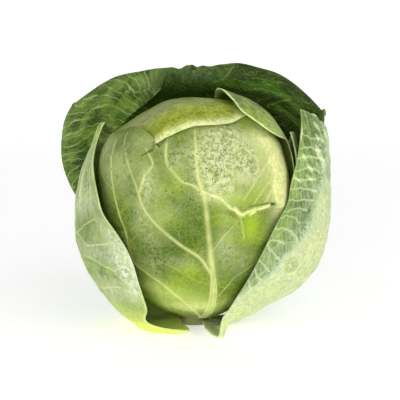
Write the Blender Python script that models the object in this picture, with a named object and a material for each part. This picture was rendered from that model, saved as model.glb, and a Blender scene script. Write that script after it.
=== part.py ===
"""A cabbage head as picked: a firm head on its cut stem, with four head leaves pressed
against it and three loose outer leaves standing away from it like a cup and a hood.

Run with: blender --background --python part.py

Frame: metres, +Z up, the origin at the centre of the stem's cut face on the surface the
cabbage rests on, and -Y towards the front, the side that the open outer leaves show.

Every leaf is a net of points. A net is laid out on the head by three numbers at each
point: the azimuth round the head (degrees from the front, positive towards +X), the polar
angle from the stem (0 at the stem, 180 at the crown) and the clearance, how far the leaf
stands off the head. Short tables give these along the leaf (s, 0 at the stem to 1 at the
tip) and across it (t, -1 to 1), and a smooth curve runs through each table's values.
"""
import bpy
import numpy as np

MM = 0.001

# The firm head: an egg with squared shoulders, narrower towards the stem.
HEAD_HALF_WIDTH = 76.0 * MM
HEAD_RISE = 85.0 * MM
HEAD_DROP = 91.0 * MM
HEAD_CENTRE_HEIGHT = 102.0 * MM
SHOULDER_POWER = 2.6
SHOULDER_DROP = 0.07
HEAD_FOLD_STEP = 1.3 * MM

# The cut stem.
STEM_CUT_RADIUS = 12.8 * MM
STEM_HEIGHT = 10.4 * MM

# Leaves.
BLADE_THICKNESS = 1.2 * MM
RIB_WIDTH = 7.0 * MM
FINE_STEPS = 4
LEAF_START = 7.8
RIPPLE_DEPTH = 14.0 * MM

FIVE = (-1.0, -0.5, 0.0, 0.5, 1.0)


def smooth(x):
    """0 below 0, 1 above 1, with an S-curve between."""
    x = np.clip(x, 0.0, 1.0)
    return x * x * (3.0 - 2.0 * x)


def curve(x, stations, values):
    """A smooth curve through the values that belong to rising stations."""
    stations = np.asarray(stations, float)
    values = np.asarray(values, float)
    slopes = np.gradient(values, stations, axis=0)
    x = np.clip(x, stations[0], stations[-1])
    i = np.clip(np.searchsorted(stations, x, side="right") - 1, 0, len(stations) - 2)
    width = stations[i + 1] - stations[i]
    u = (x - stations[i]) / width
    shape = u.shape + (1,) * (values.ndim - 1)
    u = u.reshape(shape)
    width = width.reshape(shape)
    ends = (1 + 2 * u) * (1 - u) ** 2 * values[i] + u ** 2 * (3 - 2 * u) * values[i + 1]
    bend = u * (1 - u) ** 2 * slopes[i] - u ** 2 * (1 - u) * slopes[i + 1]
    return ends + width * bend


def patch(s, t, rows, columns, table):
    """A smooth surface through a table with a row for each s and a column for each t."""
    along = curve(s, rows, np.eye(len(rows)))
    across = curve(t, columns, np.eye(len(columns)))
    return np.einsum("...i,...j,ij->...", along, across, np.asarray(table, float))


def head_radius(polar):
    """Distance from the head's centre to its surface at a polar angle in radians."""
    up = np.maximum(-np.cos(polar), 0.0) / HEAD_RISE
    down = np.maximum(np.cos(polar), 0.0) / HEAD_DROP
    side = np.sin(polar) / HEAD_HALF_WIDTH
    egg = np.sqrt(side ** 2 + down ** 2)
    square = (side ** SHOULDER_POWER + up ** SHOULDER_POWER) ** (1.0 / SHOULDER_POWER)
    return 1.0 / np.where(np.cos(polar) > 0.0, egg, square)


def settle(p):
    """The head's left shoulder lies lower than its right one: points there move inwards."""
    q = p - np.array([0.0, 0.0, HEAD_CENTRE_HEIGHT])
    r = np.linalg.norm(q, axis=-1, keepdims=True)
    polar = np.degrees(np.arccos(np.clip(-q[..., 2:] / r, -1.0, 1.0))) - 144.0
    azimuth = (np.degrees(np.arctan2(q[..., :1], -q[..., 1:2])) + 270.0) % 360.0 - 180.0
    fade = np.exp(-(polar / np.where(polar < 0.0, 11.0, 16.0)) ** 2 - (azimuth / 55.0) ** 2)
    return p - q * SHOULDER_DROP * fade


def place_round(azimuth, polar, clear):
    """Points at an azimuth and a polar angle in degrees, standing clear of the head."""
    a = np.radians(azimuth)
    p = np.radians(polar)
    r = head_radius(p) + clear
    x = r * np.sin(p) * np.sin(a)
    y = -r * np.sin(p) * np.cos(a)
    z = HEAD_CENTRE_HEIGHT - r * np.cos(p)
    return np.stack([x, y, z], axis=-1)


def place_over(plane, sideways, along, clear):
    """Points of a leaf whose midrib lies in the upright plane at one azimuth and runs over
    the crown. sideways is the angle out of that plane, along the angle from the stem."""
    c = np.radians(plane)
    w = np.radians(sideways)
    a = np.radians(along)
    x = np.cos(w) * np.sin(a) * np.sin(c) + np.sin(w) * np.cos(c)
    y = -np.cos(w) * np.sin(a) * np.cos(c) + np.sin(w) * np.sin(c)
    z = -np.cos(w) * np.cos(a)
    r = head_radius(np.arccos(np.clip(-z, -1.0, 1.0))) + clear
    p = np.stack([x, y, z], axis=-1) * r[..., None]
    p[..., 2] += HEAD_CENTRE_HEIGHT
    return p


LEAVES = {
    # The broad leaf that fills the front of the head, with its top edge torn at one place
    # and a buckle across its right half.
    "front_leaf": dict(
        start=10.0, settled=True, cells=(22, 24),
        stations=(0.0, 0.15, 0.4, 0.7, 1.0),
        edges=[(5, 36, 62), (-58, 20, 74), (-84, 11, 86), (-94, 5, 90), (-86, 0, 86)],
        tips=(-1.0, -0.83, -0.65, -0.5, -0.4, -0.32, -0.25, -0.17, 0.0, 0.4, 0.7, 1.0),
        reach=(127, 132, 136.5, 137, 134.5, 131.5, 129, 138, 143, 148, 143, 127),
        rows=(0.0, 0.15, 0.4, 0.75, 0.9, 1.0),
        columns=(-1.0, -0.42, -0.333, -0.25, -0.167, -0.04, 0.5, 1.0),
        clear=[(1.6, 2.2, 2.2, 2.2, 2.2, 2.2, 2.2, 1.6),
               (3.0, 4.0, 4.2, 4.3, 4.5, 4.8, 4.0, 3.0),
               (3.0, 4.0, 4.2, 4.3, 4.5, 4.8, 4.0, 3.0),
               (3.0, 4.2, 4.3, 4.2, 3.9, 3.8, 3.6, 3.0),
               (4.6, 5.6, 5.7, 4.7, 2.2, 1.9, 1.8, 1.8),
               (5.0, 5.8, 5.9, 4.9, 1.6, 1.3, 1.3, 1.3)],
        tear=(-0.25, 0.035, 3.0),
        buckle=2.6,
        rib=1.2, root=2.2, ripple=0.15,
    ),
    # The leaf that comes from behind over the crown and ends in a lip above the front leaf.
    "crown_leaf": dict(
        over=190.0, start=40.0, settled=True, cells=(24, 16),
        stations=(0.0, 0.3, 0.6, 0.85, 1.0),
        edges=[(-15, 0, 15), (-34, 0, 40), (-40, 0, 50), (-38, 0, 48), (-38, 0, 44)],
        tips=(-1.0, -0.6, -0.33, 0.0, 0.17, 0.33, 0.5, 0.625, 0.8, 1.0),
        reach=(202, 209, 218.5, 222, 222, 223.5, 225, 225.5, 222, 210),
        rows=(0.0, 0.5, 0.88, 0.94, 1.0),
        columns=(-1.0, -0.5, 0.0, 0.375, 0.5, 0.625, 1.0),
        clear=[(2, 2, 2, 2, 2, 2, 2),
               (2, 2, 2, 2, 2, 2, 2),
               (2, 2, 2.2, 2.2, 2, 2, 2),
               (4, 4.2, 4.6, 4.6, 4.2, 2.2, 2),
               (4.4, 5.2, 6.4, 5.6, 4.8, 2.2, 2)],
        rib=0.8, root=1.6, ripple=0.15,
    ),
    # The leaf on the right shoulder, whose front edge stands off the crown.
    "shoulder_leaf": dict(
        over=105.0, start=35.0, cells=(20, 14),
        stations=(0.0, 0.3, 0.55, 0.66, 0.73, 0.8, 0.87, 0.92, 0.96, 1.0),
        edges=[(-12, 0, 14), (-16, 0, 34), (-15, 0, 42), (-16, 0, 42), (-29, 0, 42),
               (-35, 0, 42), (-36.5, 0, 41), (-36, 0, 39), (-33, 1, 36), (-19, 6, 32)],
        tips=FIVE, reach=(171, 170, 167, 163, 158),
        rows=(0.0, 0.4, 0.7, 0.85, 1.0),
        columns=FIVE,
        clear=[(6.5, 6.5, 6.5, 6.5, 6.5), (7, 7, 6.5, 6, 6), (8.5, 7, 6, 6, 6),
               (11, 8, 7, 7, 7), (14, 10, 7.5, 7, 7)],
        rib=0.8, root=1.6, ripple=0.3,
    ),
    # The narrow leaf seen edge on between the head and the right outer leaf.
    "side_leaf": dict(
        start=25.0, cells=(12, 10),
        stations=(0.0, 0.3, 0.6, 0.8, 1.0),
        edges=[(84, 96, 110), (78, 105, 130), (72, 108, 136), (76, 108, 136), (84, 108, 134)],
        tips=FIVE, reach=(127, 125, 120, 114, 106),
        rows=(0.0, 0.3, 0.6, 0.8, 1.0),
        columns=FIVE,
        clear=[(10, 10, 10, 10, 10), (10.5, 11, 11, 11, 10.5), (11, 12.5, 12, 11, 10.5),
               (11, 15, 14, 12, 11), (14, 16, 14, 12, 11)],
        rib=0.8, root=1.6, ripple=0.4,
    ),
    # The loose leaf on the left, cupped round the head, with a lobe lying on the surface.
    "left_outer_leaf": dict(
        start=LEAF_START, cells=(22, 22),
        stations=(0, 0.05, 0.09, 0.13, 0.2, 0.3, 0.41, 0.48, 0.54, 0.6, 0.66, 0.72, 0.8,
                  0.87, 1),
        edges=[(-130, -95, -52), (-132, -95, -16), (-136, -95, -6), (-142, -95, -14),
               (-150, -95, -35), (-156, -95, -29), (-157, -95, -29), (-158, -96, -31),
               (-158, -96, -35), (-156, -97, -42), (-154, -98, -52), (-152, -99, -58),
               (-150, -100, -68), (-146, -102, -80), (-140, -105, -87)],
        tips=FIVE, reach=(105, 116, 123, 129, 133),
        rows=(0, 0.05, 0.09, 0.13, 0.2, 0.3, 0.41, 0.54, 0.66, 0.72, 0.8, 0.87, 1),
        columns=FIVE,
        clear=[(11, 11, 11, 11, 11), (12, 13, 14, 15, 13), (12, 14, 17, 21, 16),
               (12, 15, 19, 23.5, 19), (11, 15, 21, 23.5, 23), (10, 15, 21.5, 23, 22),
               (10, 15, 24, 21, 18), (10, 15, 25, 18, 14), (10, 15, 23, 15, 11),
               (10, 15, 22, 14, 10), (10, 14.5, 20, 13, 9), (10, 14, 18, 12.5, 8.5),
               (10, 13, 15, 13, 11)],
        roll=dict(width=14, radius=14, low=(0.25, 0.45, 0.0), top=0.3, high=(0.25, 0.45, 0.4)),
        rib=2.2, root=3.0, ripple=0.6,
    ),
    # The loose leaf behind, which rises over the crown as a hood with a rolled-back rim.
    "back_outer_leaf": dict(
        start=LEAF_START, cells=(32, 26),
        stations=(0.0, 0.06, 0.12, 0.3, 0.5, 0.72, 0.85, 1.0),
        edges=[(150, 180, 210), (140, 180, 212), (135, 180, 224), (128, 180, 236), (120, 180, 244),
               (110, 180, 252), (103, 180, 257), (97, 180, 254)],
        tips=(-1.0, -0.75, -0.5, 0.0, 0.5, 0.75, 1.0),
        reach=(126, 143.5, 150.5, 155, 150, 142, 128),
        rows=(0.0, 0.06, 0.12, 0.3, 0.5, 0.72, 0.8, 0.9, 1.0),
        columns=(-1.0, -0.75, -0.4, 0.0, 0.4, 0.75, 1.0),
        clear=[(11, 11, 11, 11, 11, 11, 11), (13, 13, 13, 13, 14, 15.5, 16),
               (15, 15, 15, 15, 17, 19, 19), (18, 18, 18, 19, 19, 20, 20),
               (20, 20, 20, 21, 21, 22, 24), (23, 23, 22, 22, 22, 25, 30),
               (25, 26, 24, 23, 24, 29, 35.5), (32, 33, 29, 22.5, 26, 33, 40),
               (42, 38, 29, 21.5, 26, 33, 38)],
        fold=9.0,
        roll=dict(width=24, radius=12, low=(0.86, 1.0, 0.7), top=1.0, high=(0.62, 0.85, 1.0)),
        rib=2.4, root=3.0, ripple=1.1,
    ),
    # The loose leaf on the right, the outermost, with a curled lobe beside the stem.
    "right_outer_leaf": dict(
        start=LEAF_START, cells=(24, 18),
        stations=(0, 0.06, 0.13, 0.2, 0.29, 0.4, 0.51, 0.61, 0.7, 0.77, 0.855, 0.92, 1),
        edges=[(30, 62, 95), (18, 66, 112), (19, 70, 122), (26, 73, 129), (31, 75, 134),
               (36, 78, 137), (42, 80, 139), (50, 82, 140), (64, 84, 140), (68, 85, 139),
               (72, 86, 138), (76, 87, 137), (86, 90, 134)],
        tips=FIVE, reach=(132, 127, 121, 113, 101),
        rows=(0, 0.1, 0.2, 0.29, 0.4, 0.51, 0.61, 0.7, 0.77, 0.855, 0.92, 1),
        columns=FIVE,
        clear=[(11, 11, 11, 11, 11), (16, 14, 13, 14, 15), (14, 14, 15, 17, 18),
               (11, 14, 19, 19, 19), (9, 20, 29, 28, 24), (8, 24, 34, 32, 27),
               (7.5, 25, 35, 33, 28), (7, 24, 35, 33, 29), (8, 25, 35, 33, 30),
               (14, 28, 36, 35, 31), (20, 32, 38, 37.5, 33), (30, 37, 41, 40, 34)],
        roll=dict(width=12, radius=16, low=(0.15, 0.4, 0.3), top=0.1, high=(0.2, 0.4, 0.3)),
        curl=(0.12, 0.055, 3.0, -8.0, -14.0),
        rib=2.4, root=3.0, ripple=0.8,
    ),
}


def blade(leaf, s, t):
    """The leaf's net before its margins are rolled and rippled."""
    sideways = patch(s, t, leaf["stations"], (-1, 0, 1), leaf["edges"])
    tip = curve(t, leaf["tips"], leaf["reach"])
    along = leaf["start"] + (tip - leaf["start"]) * s
    if "tear" in leaf:
        at, half, deep = leaf["tear"]
        along = along - deep * np.exp(-((t - at) / half) ** 2) * s ** 9
    clear = MM * patch(s, t, leaf["rows"], leaf["columns"], leaf["clear"])
    if "buckle" in leaf:
        clear = clear + leaf["buckle"] * MM * buckle(sideways, along)
    if "over" in leaf:
        p = place_over(leaf["over"], sideways, along, clear)
    else:
        p = place_round(sideways, along, clear)
    return settle(p) if leaf.get("settled") else p


def hanging_fold(s, t):
    """A fold that hangs inside the hood's left half: steep below, easing out to the rim."""
    above = s - (0.945 - 0.42 * (t - 0.38))
    across = smooth((t - 0.3) / 0.08) * smooth((0.86 - t) / 0.14) * smooth((1.0 - s) / 0.05)
    return across * np.where(above > 0.0, np.exp(-above / 0.05), np.exp(above / 0.016))


def buckle(azimuth, polar):
    """A low bulge above a sharp lip that crosses the right half of the front leaf."""
    above = polar - (98.5 - 0.1 * azimuth)
    across = smooth((azimuth - 14.0) / 14.0) * smooth((70.0 - azimuth) / 16.0)
    return across * np.where(above > 0.0, np.exp(-above / 9.0), np.exp(above / 1.3))


def leaf_net(leaf, s, t):
    """The leaf's inner face: the blade with its margins rolled outwards and rippled."""
    p = blade(leaf, s, t)
    along = np.gradient(p, s[:, 0], axis=0)
    across = np.gradient(p, t[0], axis=1)
    out = np.cross(along, across)
    out /= np.linalg.norm(out, axis=-1, keepdims=True)
    centre = np.array([0.0, 0.0, HEAD_CENTRE_HEIGHT])
    out *= np.sign((out * (p - centre)).sum(-1, keepdims=True))
    length = np.linalg.norm(np.diff(p, axis=0), axis=-1).sum(0)
    width = np.linalg.norm(np.diff(p, axis=1), axis=-1).sum(1)
    to_top = (1.0 - s) * length[None, :] + 0.3 * MM
    to_low = (1.0 + t) * width[:, None] / 2.0 + 0.3 * MM
    to_high = (1.0 - t) * width[:, None] / 2.0 + 0.3 * MM
    weights = [to_low ** -3, to_top ** -3, to_high ** -3]
    margin = sum(weights) ** (-1.0 / 3.0)
    if "roll" in leaf:
        roll = leaf["roll"]
        shares = [side[2] * smooth((s - side[0]) / (side[1] - side[0]))
                  for side in (roll["low"], roll["high"])]
        share = shares[0] * weights[0] + roll["top"] * weights[1] + shares[1] * weights[2]
        share = share / sum(weights)
        run = np.clip(roll["width"] * MM - margin, 0.0, None)
        turn = run / (roll["radius"] * MM) * share
        bent = turn > 1e-3
        radius = np.where(bent, run / np.maximum(turn, 1e-3), 0.0)
        lift = radius * (1.0 - np.cos(turn))
        pull = np.where(bent, radius * np.sin(turn) - run, 0.0)
        p = p + out * lift[..., None] + outward(margin, s, t, along, across) * pull[..., None]
    if "ripple" in leaf:
        round_margin = np.arctan2(s - 0.35, t)
        wave = np.sin(9 * round_margin + 0.6) + 0.6 * np.sin(17 * round_margin + 2.0)
        wave = wave + 0.4 * np.sin(29 * round_margin)
        fade = np.exp(-margin / RIPPLE_DEPTH) * smooth(s / 0.3)
        p = p + out * (leaf["ripple"] * MM * wave * fade)[..., None]
    if "fold" in leaf:
        inward = centre - p
        inward /= np.linalg.norm(inward, axis=-1, keepdims=True)
        p = p + inward * (leaf["fold"] * MM * hanging_fold(s, t))[..., None]
    if "curl" in leaf:
        at, half, *move = leaf["curl"]
        lobe = np.exp(-((s - at) / half) ** 4) * smooth((-t - 0.62) / 0.38)
        p = p + lobe[..., None] * np.array(move) * MM
    p[..., 2] = np.maximum(p[..., 2], thickness(leaf, s, t, width) + 0.02 * MM)
    return p


def outward(margin, s, t, along, across):
    """Unit vectors in the blade that point straight at the nearest margin."""
    gs = np.gradient(margin, s[:, 0], axis=0)[..., None]
    gt = np.gradient(margin, t[0], axis=1)[..., None]
    ss = (along * along).sum(-1, keepdims=True)
    st = (along * across).sum(-1, keepdims=True)
    tt = (across * across).sum(-1, keepdims=True)
    v = (st * gt - tt * gs) * along + (st * gs - ss * gt) * across
    return v / np.maximum(np.linalg.norm(v, axis=-1, keepdims=True), 1e-15)


def thickness(leaf, s, t, width):
    """Thin blade, thicker at the root and along the midrib that stands out behind it."""
    root = leaf["root"] * np.exp(-((s / 0.1) ** 2))
    off = t * width[:, None] / 2.0
    rib = leaf["rib"] * np.exp(-((off / RIB_WIDTH) ** 2)) * (1.0 - s) ** 1.5
    return BLADE_THICKNESS + MM * np.maximum(root, rib)


def grid(rows, columns):
    """Rising s down the rows and t across the columns."""
    s = np.linspace(0.0, 1.0, rows + 1)
    t = np.linspace(-1.0, 1.0, columns + 1)
    return np.meshgrid(s, t, indexing="ij")


def add_object(name, verts, faces, material):
    mesh = bpy.data.meshes.new(name)
    mesh.from_pydata(verts.tolist(), [], faces)
    mesh.validate()
    mesh.update()
    mesh.materials.append(material)
    mesh.shade_smooth()
    obj = bpy.data.objects.new(name, mesh)
    bpy.context.scene.collection.objects.link(obj)
    return obj


def principled(name, colour, roughness):
    material = bpy.data.materials.new(name)
    material.use_nodes = True
    shader = material.node_tree.nodes["Principled BSDF"]
    shader.inputs["Base Color"].default_value = (*colour, 1.0)
    shader.inputs["Roughness"].default_value = roughness
    shader.inputs["Metallic"].default_value = 0.0
    return material


def make_leaf(name, material):
    """A leaf's net, split into triangles alike on both faces by the Solidify modifier."""
    leaf = LEAVES[name]
    rows, columns = leaf["cells"]
    s, t = grid(rows * FINE_STEPS, columns * FINE_STEPS)
    fine = leaf_net(leaf, s, t)
    width = np.linalg.norm(np.diff(fine, axis=1), axis=-1).sum(1)
    thick = thickness(leaf, s, t, width)[::FINE_STEPS, ::FINE_STEPS]
    net = fine[::FINE_STEPS, ::FINE_STEPS]
    number = np.arange(net[..., 0].size).reshape(net.shape[:2])
    a = number[:-1, :-1]
    b = number[:-1, 1:]
    c = number[1:, 1:]
    d = number[1:, :-1]
    faces = []
    for i in range(rows):
        for j in range(columns):
            corners = [net[i, j], net[i, j + 1], net[i + 1, j + 1], net[i + 1, j]]
            one = np.linalg.norm(corners[0] - corners[2])
            other = np.linalg.norm(corners[1] - corners[3])
            if one < other:
                faces.append((a[i, j], b[i, j], c[i, j]))
                faces.append((a[i, j], c[i, j], d[i, j]))
            else:
                faces.append((a[i, j], b[i, j], d[i, j]))
                faces.append((b[i, j], c[i, j], d[i, j]))
    middle = rows // 2, columns // 2
    facing = np.cross(net[middle[0], middle[1] + 1] - net[middle],
                      net[middle[0] + 1, middle[1]] - net[middle])
    if (facing * (net[middle] - [0.0, 0.0, HEAD_CENTRE_HEIGHT])).sum() < 0.0:
        faces = [face[::-1] for face in faces]
    faces = [tuple(int(n) for n in face) for face in faces]
    obj = add_object(name, net.reshape(-1, 3), faces, material)
    most = float(thick.max())
    group = obj.vertex_groups.new(name="thickness")
    for n, value in enumerate(thick.ravel()):
        group.add([n], float(value) / most, "REPLACE")
    solid = obj.modifiers.new("thickness", "SOLIDIFY")
    solid.thickness = most
    solid.offset = 1.0
    solid.use_even_offset = False
    solid.vertex_group = group.name
    return obj


HEAD_FOLDS = [(150.0, 52.0, 0.35), (262.0, 47.0, -0.3), (35.0, 58.0, 0.25)]


def head_fold(direction):
    """Steps where the leaf edges of the packed head overlap: each fold is the edge of a
    round cap about a tilted axis, raised on its inside and fading towards its middle."""
    height = np.zeros(len(direction))
    for azimuth, size, lean in HEAD_FOLDS:
        a = np.radians(azimuth)
        axis = np.array([np.sin(a) * 0.55, -np.cos(a) * 0.55, 0.83])
        axis /= np.linalg.norm(axis)
        angle = np.degrees(np.arccos(np.clip(direction @ axis, -1.0, 1.0)))
        wave = lean * 8.0 * np.sin(3.0 * np.arctan2(direction[:, 0], direction[:, 1]))
        inside = size + wave - angle
        height += smooth(inside / 5.0) * smooth((size - inside) / size)
    return height


def make_head(material):
    """The packed inner leaves, one firm body, with low steps where leaf edges overlap."""
    rows = 26
    columns = 36
    polar = np.radians(np.linspace(0.0, 180.0, rows + 1))[1:-1]
    turn = np.radians(np.linspace(0.0, 360.0, columns, endpoint=False))
    p, a = np.meshgrid(polar, turn, indexing="ij")
    ring = np.stack([np.sin(p) * np.sin(a), -np.sin(p) * np.cos(a), -np.cos(p)], axis=-1)
    points = np.concatenate([[[0.0, 0.0, -1.0]], ring.reshape(-1, 3), [[0.0, 0.0, 1.0]]])
    radius = head_radius(np.arccos(np.clip(-points[:, 2], -1.0, 1.0)))
    radius = radius + HEAD_FOLD_STEP * (head_fold(points) - 2.4)
    verts = settle(points * radius[:, None] + [0.0, 0.0, HEAD_CENTRE_HEIGHT])
    verts[:, 2] = np.maximum(verts[:, 2], STEM_HEIGHT + 0.4 * MM)
    last = len(verts) - 1
    faces = []
    for j in range(columns):
        k = (j + 1) % columns
        faces.append((0, 1 + k, 1 + j))
        top = 1 + (rows - 2) * columns
        faces.append((last, top + j, top + k))
        for i in range(rows - 2):
            q = 1 + i * columns
            faces.append((q + j, q + k, q + columns + k, q + columns + j))
    return add_object("inner_head", verts, faces, material)


def make_stem(material):
    """The stump: a short trunk that flares to its cut face, with shallow leaf scars."""
    sides = 28
    levels = [(0.0, 0.97), (0.6 * MM, 1.0), (3.5 * MM, 0.96), (6.5 * MM, 0.90), (STEM_HEIGHT, 0.85)]
    verts = [(0.0, 0.0, 0.0)]
    for z, part in levels:
        for k in range(sides):
            angle = 2.0 * np.pi * k / sides
            r = STEM_CUT_RADIUS * part * (1.0 + 0.03 * np.sin(5.0 * angle + 0.7))
            verts.append((r * np.cos(angle), r * np.sin(angle), z))
    verts.append((0.0, 0.0, STEM_HEIGHT))
    last = len(verts) - 1
    faces = []
    for k in range(sides):
        m = (k + 1) % sides
        faces.append((0, 1 + m, 1 + k))
        for level in range(len(levels) - 1):
            q = 1 + level * sides
            faces.append((q + k, q + m, q + sides + m, q + sides + k))
        top = 1 + (len(levels) - 1) * sides
        faces.append((last, top + k, top + m))
    obj = add_object("stem", np.array(verts), faces, material)
    obj.data.set_sharp_from_angle(angle=np.radians(40.0))
    return obj


def main():
    for obj in list(bpy.data.objects):
        bpy.data.objects.remove(obj, do_unlink=True)
    make_stem(principled("cut_stem", (0.56, 0.52, 0.30), 0.75))
    make_head(principled("packed_leaves", (0.52, 0.60, 0.22), 0.5))
    colours = {
        "front_leaf": (0.27, 0.42, 0.08),
        "crown_leaf": (0.46, 0.56, 0.12),
        "shoulder_leaf": (0.34, 0.48, 0.12),
        "side_leaf": (0.40, 0.54, 0.20),
        "left_outer_leaf": (0.42, 0.54, 0.26),
        "back_outer_leaf": (0.05, 0.13, 0.03),
        "right_outer_leaf": (0.48, 0.62, 0.30),
    }
    for name, colour in colours.items():
        make_leaf(name, principled(name + "_skin", colour, 0.5))


main()
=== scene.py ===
# %% [markdown]
# # A cabbage head in its loose outer leaves
#
# This lesson dresses a finished solid model of a cabbage. The solids give the form: a firm
# head on its cut stem, four head leaves pressed against it, and three loose outer leaves.
# Here each leaf is worked out again from the same numbers on a much finer net, and then gets
# what a leaf is known by: a midrib with side veins, blisters between them, a waxy bloom,
# specks, and greens that run from nearly black under the hood, partly painted shade there, to
# cream where light never reached the leaf. Light and shade are also painted into the colours
# of the wrinkles and where one leaf shades another.

# %% Load the solids
import bpy
import numpy as np
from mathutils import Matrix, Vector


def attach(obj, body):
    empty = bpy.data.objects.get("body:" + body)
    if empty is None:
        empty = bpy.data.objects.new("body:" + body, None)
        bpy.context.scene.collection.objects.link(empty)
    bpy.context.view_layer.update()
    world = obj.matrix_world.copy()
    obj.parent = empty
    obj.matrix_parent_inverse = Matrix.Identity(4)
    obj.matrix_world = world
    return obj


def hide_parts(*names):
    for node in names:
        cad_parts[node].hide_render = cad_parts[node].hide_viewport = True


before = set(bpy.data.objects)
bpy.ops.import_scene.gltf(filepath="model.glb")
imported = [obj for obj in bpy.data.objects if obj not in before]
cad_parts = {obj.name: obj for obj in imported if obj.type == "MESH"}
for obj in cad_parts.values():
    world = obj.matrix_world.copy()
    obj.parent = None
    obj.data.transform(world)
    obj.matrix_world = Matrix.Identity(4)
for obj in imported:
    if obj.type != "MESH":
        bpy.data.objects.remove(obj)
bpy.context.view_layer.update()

# %% [markdown]
# ## Lengths, curves and colours
#
# Blender measures in metres, so a length in millimetres is written as a number times MM.
# Colours are picked on a screen as sRGB, but light is added up in linear values, so one
# function turns a hex colour into a linear one.

# %% Units and small helpers
MM = 0.001


def colour(hex_code):
    """Linear value of each sRGB channel c: c / 12.92 where it is dark, and otherwise
    (c + 0.055) / 1.055 to the power 2.4."""
    c = np.array([int(hex_code[i:i + 2], 16) for i in (1, 3, 5)]) / 255.0
    linear = np.where(c <= 0.04045, c / 12.92, ((c + 0.055) / 1.055) ** 2.4)
    return (*linear.tolist(), 1.0)


def smooth(x):
    """0 below 0, 1 above 1, and x squared times (3 - 2x) between."""
    x = np.clip(x, 0.0, 1.0)
    return x * x * (3.0 - 2.0 * x)


def bell(x):
    """1 at 0, falling to nothing by about 2 on both sides: e to the power -x squared."""
    return np.exp(-x * x)


def curve(x, stations, values):
    """A smooth cubic through the values that belong to rising stations, with the slope at
    each station taken from its neighbours."""
    stations = np.asarray(stations, float)
    values = np.asarray(values, float)
    slopes = np.gradient(values, stations, axis=0)
    x = np.clip(x, stations[0], stations[-1])
    i = np.clip(np.searchsorted(stations, x, side="right") - 1, 0, len(stations) - 2)
    width = stations[i + 1] - stations[i]
    u = (x - stations[i]) / width
    shape = u.shape + (1,) * (values.ndim - 1)
    u = u.reshape(shape)
    width = width.reshape(shape)
    ends = (1 + 2 * u) * (1 - u) ** 2 * values[i] + u ** 2 * (3 - 2 * u) * values[i + 1]
    bend = u * (1 - u) ** 2 * slopes[i] - u ** 2 * (1 - u) * slopes[i + 1]
    return ends + width * bend


def patch(s, t, rows, columns, table):
    """A smooth surface through a table with a row for each s and a column for each t."""
    along = curve(s, rows, np.eye(len(rows)))
    across = curve(t, columns, np.eye(len(columns)))
    return np.einsum("...i,...j,ij->...", along, across, np.asarray(table, float))


print("mid green is", np.round(colour("#86a83c")[:3], 3), "in linear values")

# %% [markdown]
# ## The form of the head
#
# A head of white cabbage is an egg with squared shoulders, narrower towards its stem. Every
# leaf is laid out on it by three numbers at each point: the azimuth round the head, 0 at
# the front and positive to the right, the polar angle from the stem, 180 at the crown, and
# the clearance, how far the leaf stands off the head. These are the solids' own numbers.

# %% The egg, and how a point is placed on it
HEAD_HALF_WIDTH = 76.0 * MM
HEAD_RISE = 85.0 * MM
HEAD_DROP = 91.0 * MM
HEAD_CENTRE_HEIGHT = 102.0 * MM
SHOULDER_POWER = 2.6
SHOULDER_DROP = 0.07
HEAD_CENTRE = np.array([0.0, 0.0, HEAD_CENTRE_HEIGHT])


def head_radius(polar):
    """Distance from the head's centre to its surface: an ellipse below the centre, and
    above it a squarer curve whose terms are raised to a power of 2.6."""
    up = np.maximum(-np.cos(polar), 0.0) / HEAD_RISE
    down = np.maximum(np.cos(polar), 0.0) / HEAD_DROP
    side = np.sin(polar) / HEAD_HALF_WIDTH
    egg = np.sqrt(side ** 2 + down ** 2)
    square = (side ** SHOULDER_POWER + up ** SHOULDER_POWER) ** (1.0 / SHOULDER_POWER)
    return 1.0 / np.where(np.cos(polar) > 0.0, egg, square)


def settle(p):
    """The head's left shoulder lies lower than its right one: points there move towards
    the head's centre, most at an azimuth of -90 and a polar angle of 144."""
    q = p - HEAD_CENTRE
    r = np.linalg.norm(q, axis=-1, keepdims=True)
    polar = np.degrees(np.arccos(np.clip(-q[..., 2:] / r, -1.0, 1.0))) - 144.0
    azimuth = (np.degrees(np.arctan2(q[..., :1], -q[..., 1:2])) + 270.0) % 360.0 - 180.0
    return p - q * SHOULDER_DROP * (bell(polar / np.where(polar < 0.0, 11.0, 16.0))
                                    * bell(azimuth / 55.0))


def place_round(azimuth, polar, clear):
    """x = r sin p sin a, y = -r sin p cos a and z = -r cos p above the centre, where r is
    the head's radius plus the clearance."""
    a = np.radians(azimuth)
    p = np.radians(polar)
    r = head_radius(p) + clear
    x = r * np.sin(p) * np.sin(a)
    y = -r * np.sin(p) * np.cos(a)
    return np.stack([x, y, HEAD_CENTRE_HEIGHT - r * np.cos(p)], axis=-1)


def place_over(plane, sideways, along, clear):
    """For a leaf that runs over the crown: its midrib lies in the upright plane at one
    azimuth, sideways is the angle out of that plane, along the angle from the stem."""
    c = np.radians(plane)
    w = np.radians(sideways)
    a = np.radians(along)
    x = np.cos(w) * np.sin(a) * np.sin(c) + np.sin(w) * np.cos(c)
    y = -np.cos(w) * np.sin(a) * np.cos(c) + np.sin(w) * np.sin(c)
    z = -np.cos(w) * np.cos(a)
    r = head_radius(np.arccos(np.clip(-z, -1.0, 1.0))) + clear
    return np.stack([x, y, z], axis=-1) * r[..., None] + HEAD_CENTRE


print("head is", 2 * HEAD_HALF_WIDTH / MM, "mm wide at its girth")

# %% [markdown]
# ## The leaves' numbers
#
# A leaf has two parameters: s runs from 0 at the stem to 1 at the tip, and t from -1 to 1
# across it, with the midrib at 0. Short tables give the azimuth, reach and clearance, and
# a smooth surface runs through them. They are the numbers that the solids were made from,
# so that the fine leaves lie where the solids lie.

# %% Tables of the seven leaves
BLADE_THICKNESS = 1.2 * MM
RIB_WIDTH = 7.0 * MM
LEAF_START = 7.8
RIPPLE_DEPTH = 14.0 * MM
FIVE = (-1.0, -0.5, 0.0, 0.5, 1.0)

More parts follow.
